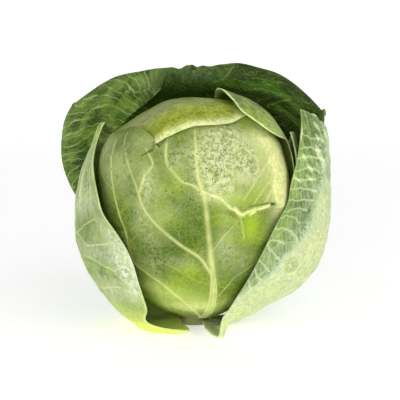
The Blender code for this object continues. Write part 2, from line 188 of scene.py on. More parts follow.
LEAVES = {
    # The broad leaf that fills the front of the head, with its top edge torn at one place
    # and a buckle across its right half.
    "front_leaf": dict(
        start=10.0, settled=True,
        stations=(0.0, 0.15, 0.4, 0.7, 1.0),
        edges=[(5, 36, 62), (-58, 20, 74), (-84, 11, 86), (-94, 5, 90), (-86, 0, 86)],
        tips=(-1.0, -0.83, -0.65, -0.5, -0.4, -0.32, -0.25, -0.17, 0.0, 0.4, 0.7, 1.0),
        reach=(127, 132, 136.5, 137, 134.5, 131.5, 129, 138, 143, 148, 143, 127),
        rows=(0.0, 0.15, 0.4, 0.75, 0.9, 1.0),
        columns=(-1.0, -0.42, -0.333, -0.25, -0.167, -0.04, 0.5, 1.0),
        clear=[(1.6, 2.2, 2.2, 2.2, 2.2, 2.2, 2.2, 1.6),
               (3.0, 4.0, 4.2, 4.3, 4.5, 4.8, 4.0, 3.0),
               (3.0, 4.0, 4.2, 4.3, 4.5, 4.8, 4.0, 3.0),
               (3.0, 4.2, 4.3, 4.2, 3.9, 3.8, 3.6, 3.0),
               (4.6, 5.6, 5.7, 4.7, 2.2, 1.9, 1.8, 1.8),
               (5.0, 5.8, 5.9, 4.9, 1.6, 1.3, 1.3, 1.3)],
        tear=(-0.25, 0.035, 3.0),
        buckle=2.6,
        rib=1.2, root=2.2, ripple=0.15,
    ),
    # The leaf that comes from behind over the crown and ends in a lip above the front leaf.
    "crown_leaf": dict(
        over=190.0, start=40.0, settled=True,
        stations=(0.0, 0.3, 0.6, 0.85, 1.0),
        edges=[(-15, 0, 15), (-34, 0, 40), (-40, 0, 50), (-38, 0, 48), (-38, 0, 44)],
        tips=(-1.0, -0.6, -0.33, 0.0, 0.17, 0.33, 0.5, 0.625, 0.8, 1.0),
        reach=(202, 209, 218.5, 222, 222, 223.5, 225, 225.5, 222, 210),
        rows=(0.0, 0.5, 0.88, 0.94, 1.0),
        columns=(-1.0, -0.5, 0.0, 0.375, 0.5, 0.625, 1.0),
        clear=[(2, 2, 2, 2, 2, 2, 2),
               (2, 2, 2, 2, 2, 2, 2),
               (2, 2, 2.2, 2.2, 2, 2, 2),
               (4, 4.2, 4.6, 4.6, 4.2, 2.2, 2),
               (4.4, 5.2, 6.4, 5.6, 4.8, 2.2, 2)],
        rib=0.8, root=1.6, ripple=0.15,
    ),
    # The leaf on the right shoulder, whose front edge stands off the crown.
    "shoulder_leaf": dict(
        over=105.0, start=35.0,
        stations=(0.0, 0.3, 0.55, 0.66, 0.73, 0.8, 0.87, 0.92, 0.96, 1.0),
        edges=[(-12, 0, 14), (-16, 0, 34), (-15, 0, 42), (-16, 0, 42), (-29, 0, 42),
               (-35, 0, 42), (-36.5, 0, 41), (-36, 0, 39), (-33, 1, 36), (-19, 6, 32)],
        tips=FIVE, reach=(171, 170, 167, 163, 158),
        rows=(0.0, 0.4, 0.7, 0.85, 1.0),
        columns=FIVE,
        clear=[(6.5, 6.5, 6.5, 6.5, 6.5), (7, 7, 6.5, 6, 6), (8.5, 7, 6, 6, 6),
               (11, 8, 7, 7, 7), (14, 10, 7.5, 7, 7)],
        rib=0.8, root=1.6, ripple=0.3,
    ),
    # The narrow leaf seen edge on between the head and the right outer leaf.
    "side_leaf": dict(
        start=25.0,
        stations=(0.0, 0.3, 0.6, 0.8, 1.0),
        edges=[(84, 96, 110), (78, 105, 130), (72, 108, 136), (76, 108, 136), (84, 108, 134)],
        tips=FIVE, reach=(127, 125, 120, 114, 106),
        rows=(0.0, 0.3, 0.6, 0.8, 1.0),
        columns=FIVE,
        clear=[(10, 10, 10, 10, 10), (10.5, 11, 11, 11, 10.5), (11, 12.5, 12, 11, 10.5),
               (11, 15, 14, 12, 11), (14, 16, 14, 12, 11)],
        rib=0.8, root=1.6, ripple=0.4,
    ),
    # The loose leaf on the left, cupped round the head, with a lobe lying on the surface.
    "left_outer_leaf": dict(
        start=LEAF_START,
        stations=(0, 0.05, 0.09, 0.13, 0.2, 0.3, 0.41, 0.48, 0.54, 0.6, 0.66, 0.72, 0.8,
                  0.87, 1),
        edges=[(-130, -95, -52), (-132, -95, -16), (-136, -95, -6), (-142, -95, -14),
               (-150, -95, -35), (-156, -95, -29), (-157, -95, -29), (-158, -96, -31),
               (-158, -96, -35), (-156, -97, -42), (-154, -98, -52), (-152, -99, -58),
               (-150, -100, -68), (-146, -102, -80), (-140, -105, -87)],
        tips=FIVE, reach=(105, 116, 123, 129, 133),
        rows=(0, 0.05, 0.09, 0.13, 0.2, 0.3, 0.41, 0.54, 0.66, 0.72, 0.8, 0.87, 1),
        columns=FIVE,
        clear=[(11, 11, 11, 11, 11), (12, 13, 14, 15, 13), (12, 14, 17, 21, 16),
               (12, 15, 19, 23.5, 19), (11, 15, 21, 23.5, 23), (10, 15, 21.5, 23, 22),
               (10, 15, 24, 21, 18), (10, 15, 25, 18, 14), (10, 15, 23, 15, 11),
               (10, 15, 22, 14, 10), (10, 14.5, 20, 13, 9), (10, 14, 18, 12.5, 8.5),
               (10, 13, 15, 13, 11)],
        roll=dict(width=14, radius=14, low=(0.25, 0.45, 0.0), top=0.3, high=(0.25, 0.45, 0.4)),
        rib=2.2, root=3.0, ripple=0.6,
    ),
    # The loose leaf behind, which rises over the crown as a hood with a rolled-back rim.
    "back_outer_leaf": dict(
        start=LEAF_START,
        stations=(0.0, 0.06, 0.12, 0.3, 0.5, 0.72, 0.85, 1.0),
        edges=[(150, 180, 210), (140, 180, 212), (135, 180, 224), (128, 180, 236), (120, 180, 244),
               (110, 180, 252), (103, 180, 257), (97, 180, 254)],
        tips=(-1.0, -0.75, -0.5, 0.0, 0.5, 0.75, 1.0),
        reach=(126, 143.5, 150.5, 155, 150, 142, 128),
        rows=(0.0, 0.06, 0.12, 0.3, 0.5, 0.72, 0.8, 0.9, 1.0),
        columns=(-1.0, -0.75, -0.4, 0.0, 0.4, 0.75, 1.0),
        clear=[(11, 11, 11, 11, 11, 11, 11), (13, 13, 13, 13, 14, 15.5, 16),
               (15, 15, 15, 15, 17, 19, 19), (18, 18, 18, 19, 19, 20, 20),
               (20, 20, 20, 21, 21, 22, 24), (23, 23, 22, 22, 22, 25, 30),
               (25, 26, 24, 23, 24, 29, 35.5), (32, 33, 29, 22.5, 26, 33, 40),
               (42, 38, 29, 21.5, 26, 33, 38)],
        fold=9.0,
        roll=dict(width=24, radius=12, low=(0.86, 1.0, 0.7), top=1.0, high=(0.62, 0.85, 1.0)),
        rib=2.4, root=3.0, ripple=1.1,
    ),
    # The loose leaf on the right, the outermost, with a curled lobe beside the stem.
    "right_outer_leaf": dict(
        start=LEAF_START,
        stations=(0, 0.06, 0.13, 0.2, 0.29, 0.4, 0.51, 0.61, 0.7, 0.77, 0.855, 0.92, 1),
        edges=[(30, 62, 95), (18, 66, 112), (19, 70, 122), (26, 73, 129), (31, 75, 134),
               (36, 78, 137), (42, 80, 139), (50, 82, 140), (64, 84, 140), (68, 85, 139),
               (72, 86, 138), (76, 87, 137), (86, 90, 134)],
        tips=FIVE, reach=(132, 127, 121, 113, 101),
        rows=(0, 0.1, 0.2, 0.29, 0.4, 0.51, 0.61, 0.7, 0.77, 0.855, 0.92, 1),
        columns=FIVE,
        clear=[(11, 11, 11, 11, 11), (16, 14, 13, 14, 15), (14, 14, 15, 17, 18),
               (11, 14, 19, 19, 19), (9, 20, 29, 28, 24), (8, 24, 34, 32, 27),
               (7.5, 25, 35, 33, 28), (7, 24, 35, 33, 29), (8, 25, 35, 33, 30),
               (14, 28, 36, 35, 31), (20, 32, 38, 37.5, 33), (30, 37, 41, 40, 34)],
        roll=dict(width=12, radius=16, low=(0.15, 0.4, 0.3), top=0.1, high=(0.2, 0.4, 0.3)),
        curl=(0.12, 0.055, 3.0, -8.0, -14.0),
        rib=2.4, root=3.0, ripple=0.8,
    ),
}

print("leaves:", ", ".join(LEAVES))

# %% [markdown]
# ## From numbers to a net
#
# The blade is placed first. Its margins are then rolled outwards on a round of 12 to 16 mm
# and rippled, as a loose leaf's margins are because they grow faster than its middle.

# %% The net of a leaf
def buckle(azimuth, polar):
    """A low bulge above a sharp lip, across the right half of the front leaf."""
    above = polar - (98.5 - 0.1 * azimuth)
    across = smooth((azimuth - 14.0) / 14.0) * smooth((70.0 - azimuth) / 16.0)
    return across * np.where(above > 0.0, np.exp(-above / 9.0), np.exp(above / 1.3))


def hanging_fold(s, t):
    """A fold that hangs inside the hood's left half: steep below, easing out to the rim."""
    above = s - (0.945 - 0.42 * (t - 0.38))
    across = smooth((t - 0.3) / 0.08) * smooth((0.86 - t) / 0.14) * smooth((1.0 - s) / 0.05)
    return across * np.where(above > 0.0, np.exp(-above / 0.05), np.exp(above / 0.016))


def blade(leaf, s, t):
    """The leaf's inner face before its margins are rolled and rippled."""
    sideways = patch(s, t, leaf["stations"], (-1, 0, 1), leaf["edges"])
    tip = curve(t, leaf["tips"], leaf["reach"])
    along = leaf["start"] + (tip - leaf["start"]) * s
    if "tear" in leaf:
        at, half, deep = leaf["tear"]
        along = along - deep * bell((t - at) / half) * s ** 9
    clear = MM * patch(s, t, leaf["rows"], leaf["columns"], leaf["clear"])
    if "buckle" in leaf:
        clear = clear + leaf["buckle"] * MM * buckle(sideways, along)
    if "over" in leaf:
        p = place_over(leaf["over"], sideways, along, clear)
    else:
        p = place_round(sideways, along, clear)
    return settle(p) if leaf.get("settled") else p


def outward(margin, s, t, along, across):
    """Unit vectors in the blade that point straight at the nearest margin: down the slope
    of the distance to the margin, measured in the surface."""
    gs = np.gradient(margin, s[:, 0], axis=0)[..., None]
    gt = np.gradient(margin, t[0], axis=1)[..., None]
    ss = (along * along).sum(-1, keepdims=True)
    st = (along * across).sum(-1, keepdims=True)
    tt = (across * across).sum(-1, keepdims=True)
    v = (st * gt - tt * gs) * along + (st * gs - ss * gt) * across
    return v / np.maximum(np.linalg.norm(v, axis=-1, keepdims=True), 1e-15)


def thickness(leaf, s, t, width):
    """A thin blade, thicker at its root and along the midrib that stands out behind it."""
    root = leaf["root"] * bell(s / 0.1)
    off = t * width[:, None] / 2.0
    rib = leaf["rib"] * bell(off / RIB_WIDTH) * (1.0 - s) ** 1.5
    return BLADE_THICKNESS + MM * np.maximum(root, rib)


def normals(p, s, t):
    """Unit normals away from the head: the cross product of the two slopes."""
    out = np.cross(np.gradient(p, s[:, 0], axis=0), np.gradient(p, t[0], axis=1))
    out /= np.linalg.norm(out, axis=-1, keepdims=True)
    middle = out.shape[0] // 2, out.shape[1] // 2
    return out * np.sign((out[middle] * (p[middle] - HEAD_CENTRE)).sum())


def leaf_net(leaf, s, t):
    """The inner face with rolled and rippled margins, and each point's distance from the
    nearest margin."""
    p = blade(leaf, s, t)
    along = np.gradient(p, s[:, 0], axis=0)
    across = np.gradient(p, t[0], axis=1)
    out = np.cross(along, across)
    out /= np.linalg.norm(out, axis=-1, keepdims=True)
    out *= np.sign((out * (p - HEAD_CENTRE)).sum(-1, keepdims=True))
    length = np.linalg.norm(np.diff(p, axis=0), axis=-1).sum(0)
    width = np.linalg.norm(np.diff(p, axis=1), axis=-1).sum(1)
    to_top = (1.0 - s) * length[None, :] + 0.3 * MM
    to_low = (1.0 + t) * width[:, None] / 2.0 + 0.3 * MM
    to_high = (1.0 - t) * width[:, None] / 2.0 + 0.3 * MM
    weights = [to_low ** -3, to_top ** -3, to_high ** -3]
    margin = sum(weights) ** (-1.0 / 3.0)
    if "roll" in leaf:
        roll = leaf["roll"]
        shares = [side[2] * smooth((s - side[0]) / (side[1] - side[0]))
                  for side in (roll["low"], roll["high"])]
        share = shares[0] * weights[0] + roll["top"] * weights[1] + shares[1] * weights[2]
        share = share / sum(weights)
        run = np.clip(roll["width"] * MM - margin, 0.0, None)
        turn = run / (roll["radius"] * MM) * share
        bent = turn > 1e-3
        radius = np.where(bent, run / np.maximum(turn, 1e-3), 0.0)
        lift = radius * (1.0 - np.cos(turn))
        pull = np.where(bent, radius * np.sin(turn) - run, 0.0)
        p = p + out * lift[..., None] + outward(margin, s, t, along, across) * pull[..., None]
    round_margin = np.arctan2(s - 0.35, t)
    wave = np.sin(9 * round_margin + 0.6) + 0.6 * np.sin(17 * round_margin + 2.0)
    wave = wave + 0.4 * np.sin(29 * round_margin)
    fade = np.exp(-margin / RIPPLE_DEPTH) * smooth(s / 0.3)
    p = p + out * (leaf["ripple"] * MM * wave * fade)[..., None]
    if "fold" in leaf:
        inward = HEAD_CENTRE - p
        inward /= np.linalg.norm(inward, axis=-1, keepdims=True)
        p = p + inward * (leaf["fold"] * MM * hanging_fold(s, t))[..., None]
    if "curl" in leaf:
        at, half, *move = leaf["curl"]
        lobe = np.exp(-((s - at) / half) ** 4) * smooth((-t - 0.62) / 0.38)
        p = p + lobe[..., None] * np.array(move) * MM
    p[..., 2] = np.maximum(p[..., 2], thickness(leaf, s, t, width) + 0.02 * MM)
    return p, np.minimum(np.minimum(to_low, to_high), to_top)


# %% [markdown]
# ## Veins
#
# A vein is a line with a width. For each point of the net the nearest piece of each line is
# found, and a bell of that distance gives the vein's height and its pale colour. Lines that
# were measured on the head are given as azimuth and polar angle. The others grow by a rule:
# side veins leave the midrib in turn, bend towards the tip, fork, and are joined by rungs.
# Wrinkles are read from a table of random values, with one number that grows fast across
# the wrinkles and one that grows slowly along them.

# %% Lines on a net
LINE_REACH = 10.0 * MM
WRINKLE_TABLE = 97


def through(points, steps):
    """Points on a smooth curve through the given ones, with steps pieces between each two."""
    points = np.asarray(points, float)
    x = np.linspace(0.0, len(points) - 1.0, (len(points) - 1) * steps + 1)
    return curve(x, np.arange(len(points)), points)


def line_field(points, lines):
    """For lines of (path, half width, strength): the highest bell of distance over half
    width at each point, and the distance to the nearest line, both within 10 mm."""
    ridge = np.zeros(points.shape[:-1])
    gap = np.full(points.shape[:-1], LINE_REACH)
    for path, half, strength in lines:
        half = np.broadcast_to(half, len(path))
        for first in range(0, len(path) - 1, 5):
            part = path[first:first + 6]
            low = part.min(0) - LINE_REACH
            high = part.max(0) + LINE_REACH
            inside = ((points > low) & (points < high)).all(-1)
            near = points[inside]
            if not len(near):
                continue
            best = ridge[inside]
            close = gap[inside]
            for n in range(len(part) - 1):
                along = part[n + 1] - part[n]
                u = np.clip((near - part[n]) @ along / max(along @ along, 1e-12), 0.0, 1.0)
                d = np.linalg.norm(near - part[n] - u[:, None] * along, axis=-1)
                w = half[first + n] + (half[first + n + 1] - half[first + n]) * u
                best = np.maximum(best, strength * bell(d / w))
                close = np.minimum(close, d)
            ridge[inside] = best
            gap[inside] = close
    return ridge, gap


def on_net(net, path):
    """Points of a path of (s, t) on a net, between its four nearest points."""
    row = np.clip(path[:, 0], 0.0, 1.0) * (net.shape[0] - 1)
    column = np.clip((path[:, 1] + 1.0) / 2.0, 0.0, 1.0) * (net.shape[1] - 1)
    i = np.minimum(row.astype(int), net.shape[0] - 2)
    j = np.minimum(column.astype(int), net.shape[1] - 2)
    u = (row - i)[:, None]
    v = (column - j)[:, None]
    low = net[i, j] * (1 - v) + net[i, j + 1] * v
    high = net[i + 1, j] * (1 - v) + net[i + 1, j + 1] * v
    return low * (1 - u) + high * u


def side_veins(seed, count, rise, first=0.06, last=0.86, rungs=4):
    """Side veins as paths of (s, t). A vein leaves the midrib at s0 and reaches the margin
    at s0 + rise, and s grows with u to the power of 1.5, so that it curves to the tip."""
    rng = np.random.default_rng(seed)
    u = np.linspace(0.0, 1.0, 9)
    main = []
    forks = []
    ladder = []
    for side in (-1, 1):
        before = None
        for k in range(count):
            s0 = first + (last - first) * (k + rng.uniform(-0.18, 0.18)) / count
            end = min(s0 + rise * (1.15 - 0.5 * s0) + rng.uniform(-0.02, 0.02), 1.0)
            sway = rng.uniform(-0.010, 0.010) * np.sin(np.pi * 2 * u)
            s = s0 + (end - s0) * u ** 1.5 + sway
            t = side * (0.985 * u)
            path = np.stack([s, t], axis=-1)
            main.append(path)
            for start in (3, 5, 6):
                if rng.random() < 0.75:
                    up = 1.0 if rng.random() < 0.6 else -1.0
                    reach = np.linspace(0.0, 1.0, 5)
                    ahead = path[start] + (path[8] - path[start]) * reach[:, None]
                    ahead[:, 0] += up * (end - s0 + 0.12) * 0.22 * reach ** 0.8
                    forks.append(ahead)
            if before is not None:
                for place in np.linspace(0.2, 0.93, rungs) + rng.uniform(-0.05, 0.05, rungs):
                    n = place * 8.0
                    a = curve(np.array([n]), np.arange(9), before)[0]
                    b = curve(np.array([n + rng.uniform(-0.5, 0.5)]), np.arange(9), path)[0]
                    middle = (a + b) / 2.0 + [0.0, side * rng.uniform(-0.02, 0.02)]
                    ladder.append(np.array([a, middle, b]))
            before = path
    return main, forks, ladder


def vein_lines(net, veins, widths, strengths):
    """Lines on the net from side veins, forks and rungs, each narrowing to its end."""
    lines = []
    for paths, wide, strength in zip(veins, widths, strengths):
        for path in paths:
            path = through(path, 3)
            taper = np.linspace(wide, wide * 0.45, len(path)) * MM
            lines.append((on_net(net, path), taper, strength))
    return lines


def drawn_lines(net, table):
    """Lines on the net from rows of (path of (s, t), half width in mm, strength)."""
    return [(on_net(net, through(path, 5)), half * MM, strength) for path, half, strength in table]


def with_midrib(veins, end):
    """The midrib, a straight line as far as s = end, and then the side veins."""
    return ([[(0.02, 0.0), (0.5, 0.0), (end, 0.0)]], *veins)


def wrinkles(across, along, seed):
    """Smooth random values between -1 and 1 that change once for each unit of either
    number. Long wrinkles come from numbers that grow fast one way and slowly the other."""
    n = WRINKLE_TABLE
    table = np.random.default_rng(seed).uniform(-1.0, 1.0, (n, n))
    i = np.floor(across).astype(int)
    j = np.floor(along).astype(int)
    u = smooth(across - i)
    v = smooth(along - j)
    low, high = (table[i % n, row % n] * (1 - u) + table[(i + 1) % n, row % n] * u
                 for row in (j, j + 1))
    return low * (1 - v) + high * v


print("one side vein with forks and rungs has", [len(x) for x in side_veins(1, 1, 0.3)], "paths")

# %% [markdown]
# ## From a net to a leaf
#
# A leaf is two faces a little over a millimetre apart, joined round the margin. Only one
# face of each leaf is seen closely, so that one has the full net and the other every third
# or fourth point of it. What the finish needs to know about each place, such as how much
# bloom lies there, is kept with the points as attributes, and the material reads them.

# %% Build a leaf's mesh
MARKS = ("vein", "pale", "deep", "lime", "bloom", "speck", "scar_and_shadow", "outer", "row", "rows")


def mesh_piece(name, verts, faces, marks, material, sharp=50.0):
    """A mesh object at the origin, with one attribute for each mark."""
    mesh = bpy.data.meshes.new(name)
    mesh.from_pydata(verts.tolist(), [], faces)
    mesh.update()
    for mark in MARKS:
        values = np.broadcast_to(marks.get(mark, 0.0), len(verts)).astype(np.float32)
        mesh.attributes.new(mark, "FLOAT", "POINT").data.foreach_set("value", values)
    mesh.materials.append(material)
    mesh.shade_smooth()
    mesh.set_sharp_from_angle(angle=np.radians(sharp))
    piece = bpy.data.objects.new(name, mesh)
    bpy.context.scene.collection.objects.link(piece)
    return piece


def grid(rows, columns):
    """Rising s down the rows and t across the columns."""
    s = np.linspace(0.0, 1.0, rows + 1)
    t = np.linspace(-1.0, 1.0, columns + 1)
    return np.meshgrid(s, t, indexing="ij")


def quads(number):
    """The four corners of each square of a net of point numbers."""
    corners = [number[:-1, :-1], number[:-1, 1:], number[1:, 1:], number[1:, :-1]]
    return np.stack(corners, axis=-1).reshape(-1, 4)


def border(number):
    """The point numbers round a net's rim, in order."""
    return np.concatenate([number[0, :-1], number[:-1, -1], number[-1, :0:-1], number[:0:-1, 0]])


def two_faced(name, inner, outer, marks, material, fine_outer, step):
    """A closed leaf: one face with the full net, the other with every step-th point, and
    round the margin one face for each step, from step + 1 points to 2."""
    near, far = (outer, inner) if fine_outer else (inner, outer)
    number = np.arange(near[..., 0].size).reshape(near.shape[:2])
    coarse = number[::step, ::step]
    other = np.arange(coarse.size).reshape(coarse.shape) + number.size
    middle = near.shape[0] // 2, near.shape[1] // 2
    facing = np.cross(near[middle[0], middle[1] + 1] - near[middle],
                      near[middle[0] + 1, middle[1]] - near[middle])
    turned = ((facing * (near[middle] - HEAD_CENTRE)).sum() > 0.0) != fine_outer
    front = quads(number)
    back = quads(other)[:, ::-1]
    ring = border(number)
    low = border(other)
    ring = np.append(ring, ring[0])
    low = np.append(low, low[0])
    strips = [[*ring[k * step:(k + 1) * step + 1][::-1], low[k], low[k + 1]]
              for k in range(len(low) - 1)]
    faces = front.tolist() + back.tolist() + [[int(n) for n in strip] for strip in strips]
    if turned:
        faces = [face[::-1] for face in faces]
    verts = np.concatenate([near.reshape(-1, 3), far[::step, ::step].reshape(-1, 3)])
    kept = {key: np.concatenate([value.ravel(), value[::step, ::step].ravel()])
            for key, value in marks.items()}
    kept["outer"] = np.where(np.arange(len(verts)) < number.size, fine_outer, not fine_outer)
    return mesh_piece(name, verts, faces, kept, material)


def leaf_piece(name, cells, step, fine_outer, dress, material):
    """Works out a leaf's fine net, lets dress() mark it and raise its relief, and builds
    it. The blade thins to half in the last 2 mm before its margin."""
    leaf = LEAVES[name]
    s, t = grid(*cells)
    net, margin = leaf_net(leaf, s, t)
    width = np.linalg.norm(np.diff(net, axis=1), axis=-1).sum(1)
    thick = thickness(leaf, s, t, width) * (0.5 + 0.5 * smooth(margin / (2.0 * MM)))
    out = normals(net, s, t)
    marks, relief_out, relief_in = dress(net, s, t, margin)
    outer = net + out * (thick + relief_out * MM)[..., None]
    inner = net + out * (np.zeros_like(s) + relief_in * MM)[..., None]
    floor = 0.05 * MM
    outer[..., 2] = np.maximum(outer[..., 2], floor)
    inner[..., 2] = np.maximum(inner[..., 2], floor)
    piece = two_faced(name + "_blade", inner, outer, marks, material, fine_outer, step)
    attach(piece, "root")
    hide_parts(name)
    print(piece.name, "has", sum(len(f.vertices) - 2 for f in piece.data.polygons), "triangles")


def patches(a, b, table):
    """Soft round patches: for rows of (a, b, half width, half height, strength), the sum of
    strength times a bell of the distance from the middle."""
    total = np.zeros_like(a)
    for at_a, at_b, wide, high, strength in table:
        total += strength * bell(np.hypot((a - at_a) / wide, (b - at_b) / high))
    return np.clip(total, 0.0, 1.0)


# %% [markdown]
# ## The finish of a leaf
#
# A cabbage leaf is smooth and waxy rather than glossy. Under a clear skin lies green tissue
# that light enters and leaves again a millimetre or two away, which is why thin margins
# glow. Loose powdery wax, the bloom, turns the green greyish. Veins carry no green and are
# cream to white, down to a net of the finest veins a few millimetres apart. One function
# makes this finish for every leaf, from that leaf's own greens.

# %% Materials
def add(tree, kind, inputs=None, **settings):
    """A node with its settings, and its inputs either linked or set."""
    made = tree.nodes.new("ShaderNode" + kind)
    for key, value in settings.items():
        setattr(made, key, value)
    for key, value in (inputs or {}).items():
        if isinstance(value, bpy.types.NodeSocket):
            tree.links.new(value, made.inputs[key])
        else:
            made.inputs[key].default_value = value
    return made


def mixed(tree, amount, first, second):
    """The colour between two, by an amount from 0 to 1."""
    return add(tree, "Mix", {0: amount, 6: first, 7: second}, data_type="RGBA").outputs[2]


def between(tree, value, low, high, to_low=0.0, to_high=1.0):
    """A value between low and high, spread smoothly over another range."""
    keys = {"Value": value, "From Min": low, "From Max": high}
    keys.update({"To Min": to_low, "To Max": to_high})
    return add(tree, "MapRange", keys, interpolation_type="SMOOTHSTEP").outputs[0]


def maths(tree, operation, a, b):
    """Two numbers joined by one operation and kept between 0 and 1."""
    return add(tree, "Math", {0: a, 1: b}, operation=operation, use_clamp=True).outputs[0]


def leaf_skin(name, blade, deep, pale, bloom, vein, lime, back=None, cell=3.2, glow=0.2,
              veinlets=0.12, marbling=0.5, row_veins=0.0):
    """Waxy leaf skin. The blade's green is mottled over 12 mm and 3 mm, and deeper, paler or
    more yellow where marked. Bloom greys it in marbled patches. Veins, veinlets one cell
    apart, specks, dark slits and near-black painted shadow lie over that. With row_veins, a
    wavy vein also lies at each half of the running number "row", and a finer one between, as
    strong as "rows"."""
    material = bpy.data.materials.new(name)
    material.use_nodes = True
    tree = material.node_tree
    shader = tree.nodes["Principled BSDF"]
    place = add(tree, "TexCoord").outputs["Object"]
    mark = {key: add(tree, "Attribute", attribute_name=key).outputs["Fac"] for key in MARKS}

    def noise(size, detail=2.0, bend=0.0):
        return add(tree, "TexNoise", {"Vector": place, "Scale": 1000.0 / size, "Detail": detail,
                                      "Distortion": bend}).outputs[0]

    wide = noise(12.0)
    middle = noise(3.4, 3.0, 0.8)
    grain = noise(1.1, 3.0)
    sway = add(tree, "TexNoise", {"Vector": place, "Scale": 1000.0 / 5.0}).outputs["Color"]
    sway = add(tree, "VectorMath", {0: sway, 1: (-0.5, -0.5, -0.5)}).outputs[0]
    sway = add(tree, "VectorMath", {0: sway, "Scale": cell * 1.1 * MM}, operation="SCALE")
    bent = add(tree, "VectorMath", {0: place, 1: sway.outputs[0]}).outputs[0]
    cells = add(tree, "TexVoronoi", {"Vector": bent, "Scale": 1000.0 / cell},
                feature="DISTANCE_TO_EDGE").outputs["Distance"]
    net = between(tree, cells, 0.01, 0.12, 1.0, 0.0)
    dots = add(tree, "TexVoronoi", {"Vector": bent, "Scale": 1000.0 / 2.3})
    chosen = add(tree, "SeparateColor", {0: dots.outputs["Color"]}).outputs[0]
    round_dot = between(tree, dots.outputs["Distance"], 0.12, 0.4, 1.0, 0.0)
    speck = maths(tree, "MULTIPLY", round_dot, maths(tree, "LESS_THAN", chosen, mark["speck"]))

    darker = maths(tree, "ADD", mark["deep"], between(tree, wide, 0.42, 0.66, 0.0, 0.4))
    darker = maths(tree, "ADD", darker, between(tree, middle, 0.46, 0.6, 0.0, marbling * 0.7))
    darker = maths(tree, "ADD", darker, between(tree, grain, 0.48, 0.62, 0.0, marbling * 0.5))
    green = mixed(tree, darker, colour(blade), colour(deep))
    green = mixed(tree, mark["lime"], green, colour(lime))
    if back:
        green = mixed(tree, maths(tree, "MULTIPLY", mark["outer"], 0.8), green, colour(back))
    paler = maths(tree, "MULTIPLY", mark["pale"], between(tree, middle, 0.3, 0.65, 1.1, 0.75))
    green = mixed(tree, paler, green, colour(pale))
    marbled = maths(tree, "ADD", maths(tree, "MULTIPLY", middle, 0.6),
                    maths(tree, "MULTIPLY", grain, 0.4))
    powder = maths(tree, "MULTIPLY", mark["bloom"],
                   between(tree, marbled, 0.4, 0.6, 1.0 - marbling, 1.15))
    green = mixed(tree, powder, green, colour(bloom))
    fine = maths(tree, "MULTIPLY", net, veinlets)
    lines = maths(tree, "MAXIMUM", mark["vein"], fine)
    if row_veins:
        for often, half, strength in ((1.0, 0.12, 1.0), (2.3, 0.16, 0.4)):
            wave = between(tree, noise(15.0 / often, 2.0), 0.3, 0.7, 0.0, 0.8)
            number = add(tree, "Math", {0: mark["row"], 1: often, 2: wave},
                         operation="MULTIPLY_ADD").outputs[0]
            off = add(tree, "Math", {0: number}, operation="FRACT").outputs[0]
            off = add(tree, "Math", {0: off, 1: 0.5}, operation="SUBTRACT").outputs[0]
            off = add(tree, "Math", {0: off}, operation="ABSOLUTE").outputs[0]
            thin = between(tree, off, half * 0.3, half, strength * row_veins, 0.0)
            patchy = between(tree, noise(6.0), 0.35, 0.6, 0.35, 1.0)
            thin = maths(tree, "MULTIPLY", maths(tree, "MULTIPLY", thin, patchy), mark["rows"])
            lines = maths(tree, "MAXIMUM", lines, thin)
    green = mixed(tree, lines, green, colour(vein))
    green = mixed(tree, maths(tree, "MULTIPLY", speck, 0.8), green, colour("#36400e"))
    # Near-black where marked: dark slits, and painted shadow under lips and in holes.
    green = mixed(tree, mark["scar_and_shadow"], green, colour("#1f2a0a"))
    tree.links.new(green, shader.inputs["Base Color"])
    rough = between(tree, powder, 0.0, 1.0, 0.45, 0.65)
    tree.links.new(rough, shader.inputs["Roughness"])
    height = maths(tree, "ADD", maths(tree, "MULTIPLY", middle, 0.7),
                   maths(tree, "MULTIPLY", grain, 0.3))
    bump = add(tree, "Bump", {"Height": height, "Strength": 0.8, "Distance": 1.3 * MM})
    tree.links.new(bump.outputs[0], shader.inputs["Normal"])
    shader.inputs["Subsurface Weight"].default_value = glow
    shader.inputs["Subsurface Radius"].default_value = (0.7, 1.0, 0.25)
    shader.inputs["Subsurface Scale"].default_value = 3.0 * MM
    shader.inputs["Specular IOR Level"].default_value = 0.12
    return material
